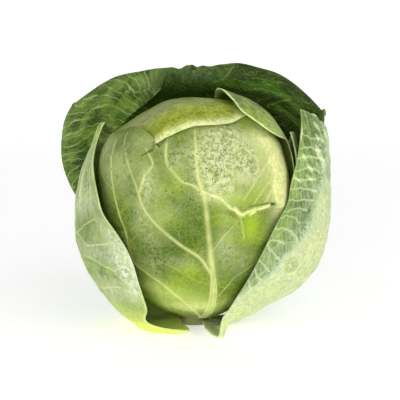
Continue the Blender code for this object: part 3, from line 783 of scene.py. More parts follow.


# %% [markdown]
# ## The front leaf
#
# The broad leaf that fills the front shows its outer side, where the veins stand out. Its
# midrib is 6 mm wide at the stem and under 2 mm at the top. The wax lies thick at the upper
# right, a strip at the right that another leaf once covered is nearly cream and brightened
# by painted highlight, and a buckle with a sharp lip crosses the right half, with pale folds
# round its left end that are partly painted highlight. Painted shadow darkens it along the
# left outer leaf, along the shoulder leaf's margin, under the lip and in a hole at the
# crease's end.

# %% Front leaf
FRONT_LINES = [
    # path of (azimuth, polar), half width in mm at its start and end, strength
    ([(17, 12), (15, 40), (9.8, 69), (7.4, 89), (5.8, 102.5), (2.6, 112), (1.6, 126), (1, 137)],
     2.8, 0.75, 0.75),
    ([(12.5, 13), (12.2, 30), (11.8, 48), (9.6, 66)], 0.8, 0.6, 0.95),
    ([(21, 13), (19, 30), (16, 46), (11, 66)], 0.8, 0.5, 0.9),
    ([(15, 12), (9.7, 19), (-7, 37), (-23, 52), (-31, 57), (-38, 62), (-40, 69), (-41, 80),
      (-46, 90), (-51, 103), (-56, 118), (-58, 128)], 1.4, 0.85, 0.75),
    ([(11.3, 58), (8.4, 62), (3.2, 69), (-6, 75), (-15, 82), (-22, 88), (-28, 95), (-31, 102)],
     1.3, 0.95, 0.85),
    ([(-31, 102), (-34.5, 109), (-41.6, 119), (-48, 127), (-50, 133)], 0.85, 0.65, 0.6),
    ([(-31, 102), (-28, 111), (-23.4, 118), (-29, 125)], 0.9, 0.7, 0.75),
    ([(5.0, 103), (0.3, 107.7), (-5.7, 109.7), (-10.4, 113.7), (-16, 120), (-17.5, 129)],
     0.95, 0.8, 0.85),
    ([(9.4, 70), (15, 78.5), (21, 85), (25, 89)], 0.6, 0.4, 0.5),
    ([(14.5, 38), (18.4, 43.6), (27, 55), (35.5, 59.4), (46, 66)], 0.7, 0.4, 0.45),
    ([(12.5, 51), (0.3, 54.8), (-11, 61.5), (-22, 66)], 0.6, 0.35, 0.35),
    ([(3, 112), (-1, 119), (-8, 128), (-10, 134)], 0.5, 0.35, 0.4),
    ([(7.2, 92), (15, 103), (18, 114), (16, 127)], 0.45, 0.3, 0.2),
    ([(-15, 82), (-20, 92), (-20, 100), (-17, 108)], 0.45, 0.3, 0.3),
    ([(-40, 74), (-32, 80), (-25, 90)], 0.45, 0.3, 0.25),
    ([(-51, 103), (-64, 108), (-76, 118)], 0.55, 0.35, 0.45),
    ([(-41, 80), (-56, 80), (-70, 88)], 0.55, 0.35, 0.35),
    ([(-38, 62), (-52, 60), (-66, 66)], 0.55, 0.35, 0.35),
    ([(-22, 88), (-12, 92), (-5, 100)], 0.4, 0.3, 0.25),
    ([(-6, 75), (-8, 84), (-4, 92)], 0.4, 0.3, 0.2),
    ([(-46, 90), (-38, 96), (-33, 106)], 0.4, 0.3, 0.25),
    ([(-56, 118), (-66, 122), (-74, 128)], 0.5, 0.4, 0.5),
]
# Near-black lines and spots: dark slits at the tear, and painted shadow under the buckle's lip and
# in the hole at the crease's end.
FRONT_SLITS_AND_SHADOWS = [
    ([(-25.0, 124.6), (-30.8, 121.6)], 0.9, 0.4, 0.85),
    ([(-24.3, 127.5), (-25.2, 124.5)], 0.7, 0.5, 0.7),
    ([(-46.6, 125.8), (-45.0, 121.6)], 0.7, 0.4, 0.6),
    ([(46.5, 95.4), (49.5, 95.0)], 1.5, 1.0, 1.0),
    ([(30, 95.8), (37, 95.8), (45, 96.2)], 0.4, 0.6, 0.6),
]
FRONT_STREAKS = [
    # pale folds round the crease, as paths of (azimuth, polar); the first four, along and
    # below the buckle's lip, are partly painted highlight
    ([(4.1, 105.1), (9.5, 103), (15.1, 100.6), (18.5, 97), (23, 94.1), (27.3, 91.4)], 0.8, 1.2,
     0.75),
    ([(22.5, 95.5), (25, 92.5), (28, 91.5)], 1.6, 1.4, 0.95),
    ([(27.3, 91.4), (29.5, 92.6), (33.8, 94.0), (38.8, 94.3), (44.8, 95.0)], 1.6, 0.9, 0.95),
    ([(32.0, 91.5), (35.5, 92.8)], 1.5, 1.0, 0.9),
    ([(51, 118.3), (41.6, 112.8), (32.8, 105.1), (27.7, 99.4)], 0.9, 0.7, 0.4),
    ([(26.6, 113.5), (21.3, 108.8), (16.9, 105.5)], 0.8, 0.6, 0.4),
    ([(46, 107), (39, 101.5), (34, 97)], 0.8, 0.6, 0.35),
    ([(56, 111), (48, 103), (42, 97.5)], 0.8, 0.6, 0.35),
    ([(25.4, 93), (27, 86), (29, 78)], 0.7, 0.5, 0.4),
]
FRONT_SHOULDER_SHADOW = [
    # the deep green band along the shoulder leaf: painted shadow of its margin over a more
    # saturated green
    ([(26, 149), (39, 146), (48, 143), (56, 141), (62, 136), (68, 130), (74, 127)], 2.5, 3.6, 1.0),
]
# The first two pale patches, the cream strip at the right, are brightened by painted highlight.
FRONT_PALE = [(62, 114, 14, 26, 1.3), (60, 99, 9, 9, 0.9), (47, 130, 10, 6, 0.6),
              (5, 34, 26, 7, 0.35), (-26, 45, 16, 7, 0.35), (12, 101.5, 6, 2.0, 0.35),
              (30, 110, 6, 3, 0.3), (-12, 33, 24, 5, 0.35)]
# Deep patches at azimuth -50 to -76 are painted shadow of the left outer leaf, and those at polar
# 133 to 143 on the right are painted shadow along the shoulder leaf's margin.
FRONT_DEEP = [(34, 50, 12, 16, 0.6), (-58, 84, 9, 22, 1.0), (-50, 66, 6, 12, 0.9),
              (-68, 100, 8, 18, 0.6), (18.5, 122.5, 3.6, 4.5, 0.85), (-8, 84, 14, 11, 0.75),
              (-2, 98, 8, 8, 0.4), (-38, 124, 12, 6, 0.5), (-22, 66, 10, 10, 0.8),
              (-2, 117, 5, 6, 0.3), (8, 80, 8, 10, 0.25), (-16, 74, 8, 8, 0.4),
              (-36, 98, 5, 12, 0.45), (40, 143, 9, 5, 0.9), (56, 139, 8, 5, 0.9),
              (66, 133, 8, 4, 0.9), (53, 86, 7, 12, 0.6), (-76, 118, 8, 14, 0.5),
              (-44, 134, 14, 4, 0.4)]
# The lime patch at azimuth 52, polar 141 belongs to the painted shadow along the shoulder leaf.
FRONT_LIME = [(33, 84, 7, 9, 0.95), (24, 100.5, 9, 4, 0.7), (40, 104, 8, 6, 0.6),
              (44, 121, 4.5, 5, 0.7), (-2, 60, 8, 4.5, 0.5), (-15, 48, 20, 8, 0.5),
              (2, 38, 22, 9, 0.55), (52, 141, 16, 5, 0.8), (-8, 110, 5, 5, 0.4),
              (-14, 90, 10, 7, 0.3), (-30, 36, 16, 6, 0.4), (14, 90, 6, 6, 0.3)]
FRONT_BLOOM = [(22, 129, 22, 12, 1.1), (10, 118, 11, 13, 0.9), (30, 118, 14, 12, 0.9),
               (14, 104, 10, 6, 0.7), (-68, 124, 10, 8, 0.45), (-44, 114, 12, 14, 0.45),
               (-26, 108, 6, 10, 0.7), (-14, 95, 10, 10, 0.25), (-25, 80, 7, 9, 0.4),
               (18, 73, 8, 12, 0.5), (-28, 61, 10, 7, 0.3), (-12, 121, 7, 8, 0.45),
               (2, 43, 8, 7, 0.2), (-60, 106, 8, 14, 0.2), (-10, 66, 10, 5, 0.25),
               (32, 64, 9, 8, 0.3), (40, 112, 6, 6, 0.3), (-30, 92, 6, 8, 0.4),
               (-30, 130, 12, 5, 0.45), (53, 86, 7, 10, 0.35)]
FRONT_SPECK = [(10, 117, 12, 12, 0.4), (-6, 119, 10, 9, 0.4), (32, 126, 14, 7, 0.3),
               (-24, 70, 8, 14, 0.55), (2, 108, 9, 8, 0.25), (-44, 118, 22, 14, 0.12),
               (20, 78, 6, 10, 0.15), (-46, 92, 8, 12, 0.1)]


BALL_RADIUS = 85.0 * MM


def measured_lines(table):
    """Lines given as (azimuth, polar), placed on a sphere of 85 mm round the head's centre."""
    lines = []
    for path, wide, narrow, strength in table:
        path = through(path, 4)
        a = np.radians(path[:, 0])
        p = np.radians(path[:, 1])
        ball = np.stack([np.sin(p) * np.sin(a), -np.sin(p) * np.cos(a), -np.cos(p)], axis=-1)
        lines.append((ball * BALL_RADIUS, np.linspace(wide, narrow, len(path)) * MM, strength))
    return lines


def on_ball(net):
    """Each point moved straight to or from the head's centre onto the sphere of 85 mm,
    with its azimuth and polar angle."""
    away = net - HEAD_CENTRE
    away = away / np.linalg.norm(away, axis=-1, keepdims=True)
    azimuth = np.degrees(np.arctan2(away[..., 0], -away[..., 1]))
    return away * BALL_RADIUS, azimuth, np.degrees(np.arccos(-away[..., 2]))


def dress_front(net, s, t, margin):
    """Measured veins, bloom, specks and dents of the front leaf."""
    ball, azimuth, polar = on_ball(net)
    vein, _ = line_field(ball, measured_lines(FRONT_LINES))
    scar_and_shadow, _ = line_field(ball, measured_lines(FRONT_SLITS_AND_SHADOWS))
    streak, _ = line_field(ball, measured_lines(FRONT_STREAKS))
    # Painted shadow along the shoulder leaf's margin, darker and more saturated green.
    under, _ = line_field(ball, measured_lines(FRONT_SHOULDER_SHADOW))
    uneven = 0.8 + 0.2 * wrinkles(azimuth / 4.0, polar / 4.0, 71)
    lump = wrinkles(azimuth / 9.0, polar / 7.0, 72)
    edge = bell(margin / (0.9 * MM)) * smooth((polar - 100.0) / 20.0)
    torn = bell((azimuth + 27.0) / 14.0) * edge
    # The lumps are painted paler on their tops and darker in their hollows: painted light and
    # shade over the relief.
    marks = {
        "vein": np.clip(vein * uneven, 0.0, 1.0),
        "scar_and_shadow": scar_and_shadow,
        "pale": np.clip(patches(azimuth, polar, FRONT_PALE) + 0.5 * torn + streak
                        + 0.08 * smooth(lump / 0.6), 0.0, 1.0),
        "deep": np.clip(patches(azimuth, polar, FRONT_DEEP) + 0.2 * smooth(-lump / 0.6)
                        + 0.7 * under, 0.0, 1.0) * (1.0 - streak),
        "lime": np.clip(patches(azimuth, polar, FRONT_LIME) + 0.5 * under, 0.0, 1.0)
                * (1.0 - 0.6 * streak),
        "bloom": patches(azimuth, polar, FRONT_BLOOM) * (1.0 - 0.7 * streak),
        "speck": patches(azimuth, polar, FRONT_SPECK),
    }
    dent = patches(azimuth, polar, [(18.5, 122.5, 4.5, 5.5, 1.0), (33, 98, 8, 3, 0.7),
                                    (24, 97, 5, 3, 0.5)])
    relief = 0.45 * vein - 0.4 * scar_and_shadow - 0.8 * dent + 0.35 * streak + 0.35 * lump
    return marks, relief * smooth(margin / (3.0 * MM)), 0.0


front_skin = leaf_skin("waxy_green_leaf", blade="#7e9430", deep="#486410", pale="#eef3a2",
                       bloom="#cad09c", vein="#dfe394", lime="#98b41e", veinlets=0.1,
                       marbling=0.8)
leaf_piece("front_leaf", (320, 244), 4, True, dress_front, front_skin)

# %% [markdown]
# ## The crown leaf
#
# It comes from behind over the crown and ends in a thick pale lip above the front leaf. It
# is more yellow than the front leaf and sprinkled with small dark specks.

# %% Crown leaf
def dress_crown(net, s, t, margin):
    """Pale along the lip and to the right, greyer behind, and specked over the middle."""
    veins = side_veins(11, 7, 0.35, first=0.3, last=0.95, rungs=3)
    lines = vein_lines(net, with_midrib(veins, 0.97), (1.2, 0.6, 0.5, 0.4),
                       (0.4, 0.35, 0.25, 0.2))
    vein, _ = line_field(net, lines)
    lump = wrinkles(12.0 * t, 34.0 * s, 12)
    lip = bell((1.0 - s - 0.004) / 0.016)
    bubbly = lip * wrinkles(44.0 * t, 90.0 * s, 13) * smooth((t - 0.2) / 0.2)
    # Lumps are painted paler where raised and darker where sunk, and the lip's bubbles paler where
    # raised: painted light and shade over the relief.
    marks = {
        "vein": vein,
        "pale": np.clip(0.95 * lip + 0.8 * smooth((-t - 0.25) / 0.4) * smooth((s - 0.9) / 0.04)
                        + 0.4 * bubbly + 0.12 * smooth(lump / 0.7), 0.0, 1.0),
        "deep": np.clip(patches(t, s, [(0.7, 0.9, 0.3, 0.07, 0.6), (0.3, 0.955, 0.5, 0.015, 0.5)])
                        + 0.12 * smooth(-lump / 0.7) + 0.6 * smooth((0.86 - s) / 0.1),
                        0.0, 1.0) * (1.0 - lip),
        "lime": patches(t, s, [(0.35, 0.93, 0.3, 0.03, 0.5), (-0.1, 0.9, 0.3, 0.03, 0.3)]),
        "bloom": patches(t, s, [(0.65, 0.84, 0.35, 0.05, 0.9), (0.2, 0.85, 0.6, 0.04, 0.6),
                                (-0.2, 0.985, 0.3, 0.01, 0.3)]),
        "speck": patches(t, s, [(0.55, 0.89, 0.3, 0.05, 0.9), (0.1, 0.92, 0.35, 0.04, 1.0),
                                (0.3, 0.95, 0.4, 0.025, 0.8)]) * smooth((0.985 - s) / 0.02),
    }
    fade = smooth(margin / (3.0 * MM))
    return marks, 0.3 * vein + 0.3 * lump * fade + 0.4 * bubbly, 0.0


crown_skin = leaf_skin("yellow_green_leaf", blade="#b7c23e", deep="#7c8c20", pale="#e6ecaa",
                      bloom="#8f9a74", vein="#cdd690", lime="#a9ba2e", marbling=0.8)
leaf_piece("crown_leaf", (216, 144), 3, True, dress_crown, crown_skin)

# %% [markdown]
# ## The shoulder leaf and the side leaf
#
# The shoulder leaf lies on the right shoulder, and its front edge stands off the crown. The
# side leaf is seen almost edge on beside the head, as a narrow band with a pale margin.

# %% Shoulder leaf and side leaf
def dress_small(seed, deep_table, bloom_table, speck_table):
    """Marks for a small leaf: thin veins, a pale margin, and patches at (t, s)."""
    def dress(net, s, t, margin):
        veins = side_veins(seed, 7, 0.3, rungs=3)
        lines = vein_lines(net, with_midrib(veins, 0.97), (1.2, 0.6, 0.5, 0.4),
                           (0.5, 0.45, 0.3, 0.25))
        vein, _ = line_field(net, lines)
        lump = wrinkles(14.0 * t, 26.0 * s, seed + 1)
        edge = bell(margin / (1.1 * MM))
        # Lumps are painted paler where raised and darker where sunk: painted light and shade over
        # the relief.
        marks = {
            "vein": vein,
            "pale": np.clip(0.95 * edge + 0.1 * smooth(lump / 0.7), 0.0, 1.0),
            "deep": np.clip(patches(t, s, deep_table) + 0.3 * smooth(-lump / 0.8), 0.0, 1.0)
                    * (1.0 - edge),
            "lime": 0.4 * smooth(wrinkles(4.0 * t, 8.0 * s, seed + 2) / 0.5),
            "bloom": patches(t, s, bloom_table),
            "speck": patches(t, s, speck_table),
        }
        return marks, 0.35 * vein + 0.4 * lump * smooth(margin / (3.0 * MM)), 0.0
    return dress


shoulder_skin = leaf_skin("light_green_leaf", blade="#b0c456", deep="#567620", pale="#e8efae",
                          bloom="#b0bd84", vein="#c5d28a", lime="#93b420", marbling=0.8)
# The deep patches near the shoulder leaf's tip are painted shade under the hood.
dress_shoulder = dress_small(21, [(-0.2, 0.99, 1.0, 0.04, 1.0), (0.4, 0.88, 0.6, 0.12, 0.7),
                                  (-0.3, 0.94, 0.3, 0.03, 0.6)],
                             [(-0.7, 0.74, 0.4, 0.06, 0.9)], [(-0.65, 0.84, 0.3, 0.06, 0.55)])
leaf_piece("shoulder_leaf", (160, 112), 4, True, dress_shoulder, shoulder_skin)
side_skin = leaf_skin("soft_green_leaf", blade="#7c9a42", deep="#46661c", pale="#d3dfa6",
                      bloom="#a4b68a", vein="#c9d698", lime="#8aaa30", marbling=0.7)
dress_side = dress_small(31, [(0.3, 0.6, 0.6, 0.3, 0.4)], [(0.0, 0.8, 0.6, 0.2, 0.3)], [])
leaf_piece("side_leaf", (96, 80), 4, True, dress_side, side_skin)

# %% [markdown]
# ## The left outer leaf
#
# A loose leaf shows how its blade blisters between the veins. Here the outer side is seen,
# pale and greyed with bloom, with its veins running out from the midrib at the left. Near
# the stem it turns yellow green, and a lobe of it lies on the surface.

# %% Left outer leaf
def blisters(net, gap, size, seed):
    """Round bulges between the veins: each of many scattered middles gives a bell of its
    own size, and a smooth step keeps them clear of the veins."""
    rng = np.random.default_rng(seed)
    flat = net.reshape(-1, 3)
    total = np.zeros(len(flat))
    count = int(0.03 / (size * MM) ** 2 * 0.35)
    for at in flat[rng.integers(0, len(flat), count)]:
        near = (np.abs(flat - at) < 2.0 * size * MM).all(-1)
        d = np.linalg.norm(flat[near] - at, axis=-1) / (size * MM)
        total[near] = np.maximum(total[near], bell(d) * rng.uniform(0.4, 1.0))
    return total.reshape(gap.shape) * smooth(gap / (2.5 * MM))


LEFT_LINES = [
    # path of (s, t), half width in mm, strength
    ([(0.10, 0.0), (0.35, 0.05), (0.60, 0.10), (0.98, 0.05)], 2.2, 0.7),
    ([(0.575, 0.12), (0.58, 0.25), (0.597, 0.39), (0.617, 0.56), (0.633, 0.75)], 0.55, 0.85),
    ([(0.60, 0.15), (0.573, 0.30), (0.543, 0.41), (0.533, 0.48), (0.54, 0.63), (0.547, 0.8)],
     0.55, 0.9),
    ([(0.50, 0.18), (0.493, 0.32), (0.487, 0.48), (0.473, 0.59), (0.46, 0.67), (0.457, 0.73),
      (0.447, 0.77), (0.457, 0.83), (0.47, 0.9)], 0.5, 0.75),
    ([(0.447, 0.77), (0.42, 0.82), (0.405, 0.9), (0.41, 0.97)], 0.45, 0.7),
    ([(0.36, 0.3), (0.367, 0.5), (0.377, 0.64), (0.383, 0.77), (0.367, 0.87)], 0.5, 0.7),
    ([(0.28, 0.35), (0.30, 0.55), (0.29, 0.75), (0.27, 0.95)], 0.5, 0.5),
    ([(0.66, 0.1), (0.70, 0.3), (0.72, 0.55), (0.76, 0.85)], 0.45, 0.6),
    ([(0.74, 0.1), (0.80, 0.35), (0.84, 0.6), (0.9, 0.9)], 0.45, 0.6),
]
LEFT_WHITE = [(0.87, 0.483, 0.14, 0.05, 0.8), (0.94, 0.41, 0.08, 0.05, 1.0),
              (0.87, 0.58, 0.1, 0.05, 0.7), (0.93, 0.45, 0.1, 0.03, 0.6),
              (0.55, 0.52, 0.3, 0.04, 0.45), (0.5, 0.70, 0.5, 0.06, 0.6),
              (0.5, 0.85, 0.6, 0.1, 0.4), (0.97, 0.52, 0.06, 0.12, 0.6),
              (0.7, 0.36, 0.3, 0.05, 0.6)]
LEFT_DEEP = [(0.50, 0.60, 0.16, 0.03, 0.8), (0.63, 0.655, 0.12, 0.03, 0.6),
             (0.89, 0.447, 0.08, 0.02, 0.5), (0.70, 0.475, 0.16, 0.02, 0.35),
             (0.5, 0.555, 0.12, 0.02, 0.5), (0.75, 0.43, 0.1, 0.015, 0.5)]


def dress_left(net, s, t, margin):
    """Bloom in patches, wrinkles above painted pale on their ridges and dark in their valleys as
    painted light and shade, yellow towards the stem.
    """
    veins = side_veins(41, 12, 0.34, rungs=6)
    fine = vein_lines(net, veins, (0.4, 0.35, 0.3), (0.3, 0.3, 0.25))
    vein, gap = line_field(net, fine + drawn_lines(net, LEFT_LINES))
    crease, _ = line_field(net, [(on_net(net, through([(0.478, 0.3), (0.472, 0.48), (0.459, 0.59),
                                                       (0.447, 0.68)], 5)), 0.6 * MM, 1.0)])
    bumps = blisters(net, gap, 4.0, 42)
    low = smooth((0.38 - s) / 0.2)
    upper = smooth((s - 0.58) / 0.12)
    lines = wrinkles(22.0 * t + 3.0 * s, 5.0 * s, 43) + 0.5 * wrinkles(46.0 * t, 12.0 * s, 44)
    crumple = wrinkles(9.0 * t + 8.0 * s, 26.0 * s, 45)
    # The lobe lies in shade near the stem; its bright lime and pale are partly painted light,
    # standing for light through the leaf.
    lobe = smooth((0.24 - s) / 0.06) * smooth((t - 0.1) / 0.3)
    inside = 1.0 - smooth(margin / (4.0 * MM))
    # Painted shade: darker in the crease, in the hollows of the crumples and the valleys of the
    # fold lines, and along the upper front margin; the fold lines' ridges are painted pale.
    marks = {
        "vein": np.maximum(vein * 0.9, 0.6 * upper * smooth((lines - 0.55) / 0.3)),
        "pale": np.clip(0.55 * low + 0.6 * bell(margin / (1.6 * MM)) + 0.5 * lobe * inside,
                        0.0, 1.0),
        "deep": np.clip(patches(t, s, LEFT_DEEP) + 0.45 * (1.0 - low) * smooth(-crumple / 0.5)
                        + 0.8 * upper * smooth((-lines - 0.15) / 0.4) + 0.6 * crease
                        + 0.5 * bell((t - 1.0) / 0.14) * upper, 0.0, 1.0) * (1.0 - lobe),
        "lime": np.clip(0.3 * low + 0.9 * lobe, 0.0, 1.0),
        "bloom": np.clip(0.3 * bumps + 0.8 * patches(t, s, LEFT_WHITE), 0.0, 1.0) * (1.0 - low),
        "speck": np.full_like(s, 0.04),
    }
    fade = smooth(margin / (4.0 * MM))
    folds = (0.7 * upper * lines + 0.5 * crumple * (1.0 - lobe)) * fade
    relief = 0.6 * vein + 0.6 * bumps * fade + folds - 0.8 * crease
    return marks, relief, 0.0


left_skin = leaf_skin("bloomy_outer_leaf", blade="#98ab58", deep="#5d7a28", pale="#dae489",
                      bloom="#dce4c8", vein="#dfeaa8", lime="#d2e636", glow=0.6,
                      veinlets=0.12, marbling=0.6)
leaf_piece("left_outer_leaf", (264, 240), 4, True, dress_left, left_skin)

# %% [markdown]
# ## The right outer leaf
#
# The outermost leaf. A band along its front margin, as far as a blunt crest, is blue green
# and crossed by many straight whitish ribs. Beyond the crest the blade is nearly cream.

# %% Right outer leaf
RIGHT_RIBS = [
    # path of (s, t) from the crest to the margin
    [(0.93, -0.30), (0.925, -0.60), (0.935, -1.0)],
    [(0.90, -0.35), (0.897, -0.70), (0.89, -0.98)],
    [(0.87, -0.30), (0.867, -0.74), (0.86, -1.0)],
    [(0.828, -0.42), (0.83, -0.7), (0.822, -1.0)],
    [(0.797, -0.50), (0.787, -0.81), (0.79, -1.0)],
    [(0.757, -0.45), (0.755, -0.72), (0.748, -1.0)],
    [(0.72, -0.5), (0.715, -0.7), (0.705, -0.86), (0.70, -1.0)],
    [(0.679, -0.62), (0.672, -0.84), (0.655, -1.0)],
    [(0.632, -0.68), (0.647, -0.88), (0.632, -1.0)],
    [(0.565, -0.62), (0.585, -0.68), (0.598, -0.80), (0.600, -0.91), (0.593, -1.0)],
    [(0.551, -0.79), (0.557, -0.88), (0.552, -0.96), (0.535, -1.0)],
    [(0.49, -0.75), (0.50, -0.82), (0.517, -0.92), (0.53, -1.0)],
    [(0.437, -0.8), (0.447, -0.87), (0.468, -1.0)],
    [(0.395, -0.82), (0.41, -0.92), (0.432, -1.0)],
    [(0.345, -0.88), (0.36, -0.94), (0.38, -1.0)],
    [(0.28, -0.93), (0.30, -1.0)],
]
CREST_S = (0.0, 0.2, 0.25, 0.30, 0.35, 0.40, 0.45, 0.53, 0.60, 0.66, 0.74, 0.85, 1.0)
CREST_T = (-1.3, -1.1, -0.98, -0.92, -0.84, -0.74, -0.68, -0.60, -0.51, -0.45, -0.36, -0.25, -0.1)


def dress_right(net, s, t, margin):
    """A ribbed, greyish band along the low margin as far as a crest, cream beyond it, with
    one round blister on the crest."""
    crest_t = curve(s, CREST_S, CREST_T)
    veins = side_veins(52, 10, 0.3, rungs=4)
    lines = vein_lines(net, with_midrib(veins, 0.98), (3.0, 0.5, 0.45, 0.4),
                       (0.8, 0.45, 0.4, 0.3))
    rng = np.random.default_rng(56)
    ribs = [through(rib, 4) for rib in RIGHT_RIBS]
    for rib in ribs:
        rib[1:-1] += rng.normal(0.0, 1.0, (len(rib) - 2, 2)) * [0.0025, 0.008]
        lines.append((on_net(net, rib), np.linspace(0.9, 0.5, len(rib)) * MM, 0.75))
    for rib, after in zip(ribs, ribs[1:]):
        for place in rng.uniform(0.1, 0.9, 2):
            a = rib[int(place * (len(rib) - 1))]
            b = after[int(np.clip(place + rng.uniform(-0.3, 0.3), 0, 1) * (len(after) - 1))]
            joint = through([a, (a + b) / 2 + rng.uniform(-0.02, 0.02, 2) * [0.2, 1], b], 4)
            lines.append((on_net(net, joint), 0.4 * MM, 0.4))
    vein, gap = line_field(net, lines)
    bumps = blisters(net, gap, 3.4, 53)
    crumple = wrinkles(10.0 * t + 4.0 * s, 40.0 * s, 54)
    across = wrinkles(6.0 * t, 60.0 * s + 6.0 * t, 55)
    band = smooth((crest_t - t) / 0.08) * smooth((s - 0.16) / 0.1)
    crest = bell((t - crest_t) / 0.07) * smooth((s - 0.2) / 0.1)
    upper = smooth((s - 0.7) / 0.15)
    round_side = smooth((t + 0.05) / 0.35)
    away = np.linalg.norm(net - on_net(net, np.array([[0.483, -0.56]]))[0], axis=-1)
    blister = smooth((10.0 * MM - away) / (5.0 * MM))
    ring = bell((away - 9.0 * MM) / (1.6 * MM))
    rays = 0.5 + 0.5 * np.sin(26.0 * np.arctan2(s - 0.483, 0.35 * (t + 0.56)))
    shut = np.maximum(blister, ring)
    dark = patches(t, s, [(-0.60, 0.667, 0.06, 0.02, 0.9), (-0.55, 0.64, 0.06, 0.02, 0.9),
                          (-0.56, 0.60, 0.05, 0.02, 0.8), (-0.66, 0.62, 0.08, 0.02, 0.5),
                          (-0.85, 0.70, 0.1, 0.02, 0.6), (-0.62, 0.71, 0.1, 0.02, 0.6)])
    # Painted shade and light over the relief: darker in the hollows of the crumples, the valleys
    # across the upper blade and between the blister's rays, paler on those ridges and rays.
    marks = {
        "vein": np.clip(vein * np.where(band > 0.5, 0.95, 0.5) * (1 - 0.8 * shut)
                        + 0.75 * blister * smooth((rays - 0.55) / 0.3)
                        + 0.6 * upper * smooth((across - 0.35) / 0.3) * (1 - blister), 0.0, 1.0),
        "pale": np.clip(0.9 * (1.0 - band) * (1.0 - 0.8 * upper) * (1.0 - blister)
                        * (1.0 - 0.75 * round_side)
                        + 0.7 * ring + 0.45 * blister + 0.4 * bell(margin / (1.3 * MM)),
                        0.0, 1.0),
        "deep": np.clip(band * (0.3 * smooth(gap / (2.2 * MM)) + 0.3 * bumps
                                + 0.5 * smooth(-crumple / 0.5)) + dark
                        + 0.5 * upper * smooth(-across / 0.5), 0.0, 1.0) * (1.0 - shut)
                + 0.55 * blister * (1.0 - smooth((rays - 0.3) / 0.3)),
        "lime": np.clip(band * patches(t, s, [(-0.95, 0.62, 0.12, 0.06, 0.6),
                                              (-0.95, 0.82, 0.15, 0.1, 0.5)])
                        + 0.25 * smooth((0.3 - s) / 0.15), 0.0, 1.0),
        "bloom": np.clip(0.85 * crest + 0.5 * band * bell((t - crest_t) / 0.3)
                         + 0.35 * bumps * band
                         + 0.8 * upper * (1.0 - band) * (1.0 - 0.6 * round_side)
                         + 0.4 * (1.0 - band) * (1.0 - round_side) * smooth(crumple / 0.5),
                         0.0, 1.0) * (1.0 - 0.8 * blister) + 0.5 * ring,
    }
    fade = smooth(margin / (4.0 * MM))
    folds = 0.5 * crumple * fade * (1 - shut) + 0.5 * upper * across * fade
    relief = 0.7 * vein * (1 - shut) + 0.5 * bumps * fade * (1 - shut) + 0.7 * crest + folds
    return marks, relief + 1.6 * blister * fade + 0.4 * blister * rays, 0.0


right_skin = leaf_skin("ribbed_outer_leaf", blade="#8aa650", deep="#4c6e28", pale="#d6dfa4",
                       bloom="#bac8a4", vein="#d9e3b4", lime="#84a83a", glow=0.6,
                       veinlets=0.12, marbling=0.8)
leaf_piece("right_outer_leaf", (288, 252), 4, True, dress_right, right_skin)

# %% [markdown]
# ## The hood
#
# The leaf behind rises over the crown, and its inner side is seen from the front. It is the
# greenest leaf of all, since it took the most light, and its rolled rim is greyed by bloom.
# Where it sinks behind the crown it is darkened further by painted shade.
# Its finest veins are thinner than the net can carry, so the material draws them: "row" is
# a number that grows across them, with a vein at each half, and "rows" is how strong they
# are at that place.

# %% Hood
HOOD_LINES = [
    # path of (s, t), half width in mm, strength
    ([(0.915, 0.34), (0.943, 0.45), (0.937, 0.53), (0.94, 0.63)], 0.5, 0.9),
    ([(0.915, 0.34), (0.95, 0.44), (0.963, 0.52), (0.98, 0.6)], 0.5, 0.9),
    ([(0.99, -0.42), (0.98, -0.39), (0.957, -0.32), (0.947, -0.21), (0.94, -0.15)], 0.6, 0.8),
    ([(0.943, -0.19), (0.95, -0.36), (0.937, -0.51), (0.95, -0.67)], 0.5, 0.6),
    ([(0.91, -0.39), (0.927, -0.56), (0.93, -0.71), (0.957, -0.87)], 0.45, 0.6),
    ([(0.88, -0.63), (0.905, -0.71), (0.933, -0.79)], 0.5, 0.9),
    ([(0.87, -0.65), (0.88, -0.73), (0.893, -0.82), (0.90, -0.9)], 0.45, 0.7),
    ([(0.90, -0.2), (0.90, -0.4), (0.89, -0.6)], 0.4, 0.4),
    ([(0.965, -0.5), (0.96, -0.62), (0.972, -0.78)], 0.4, 0.4),
]


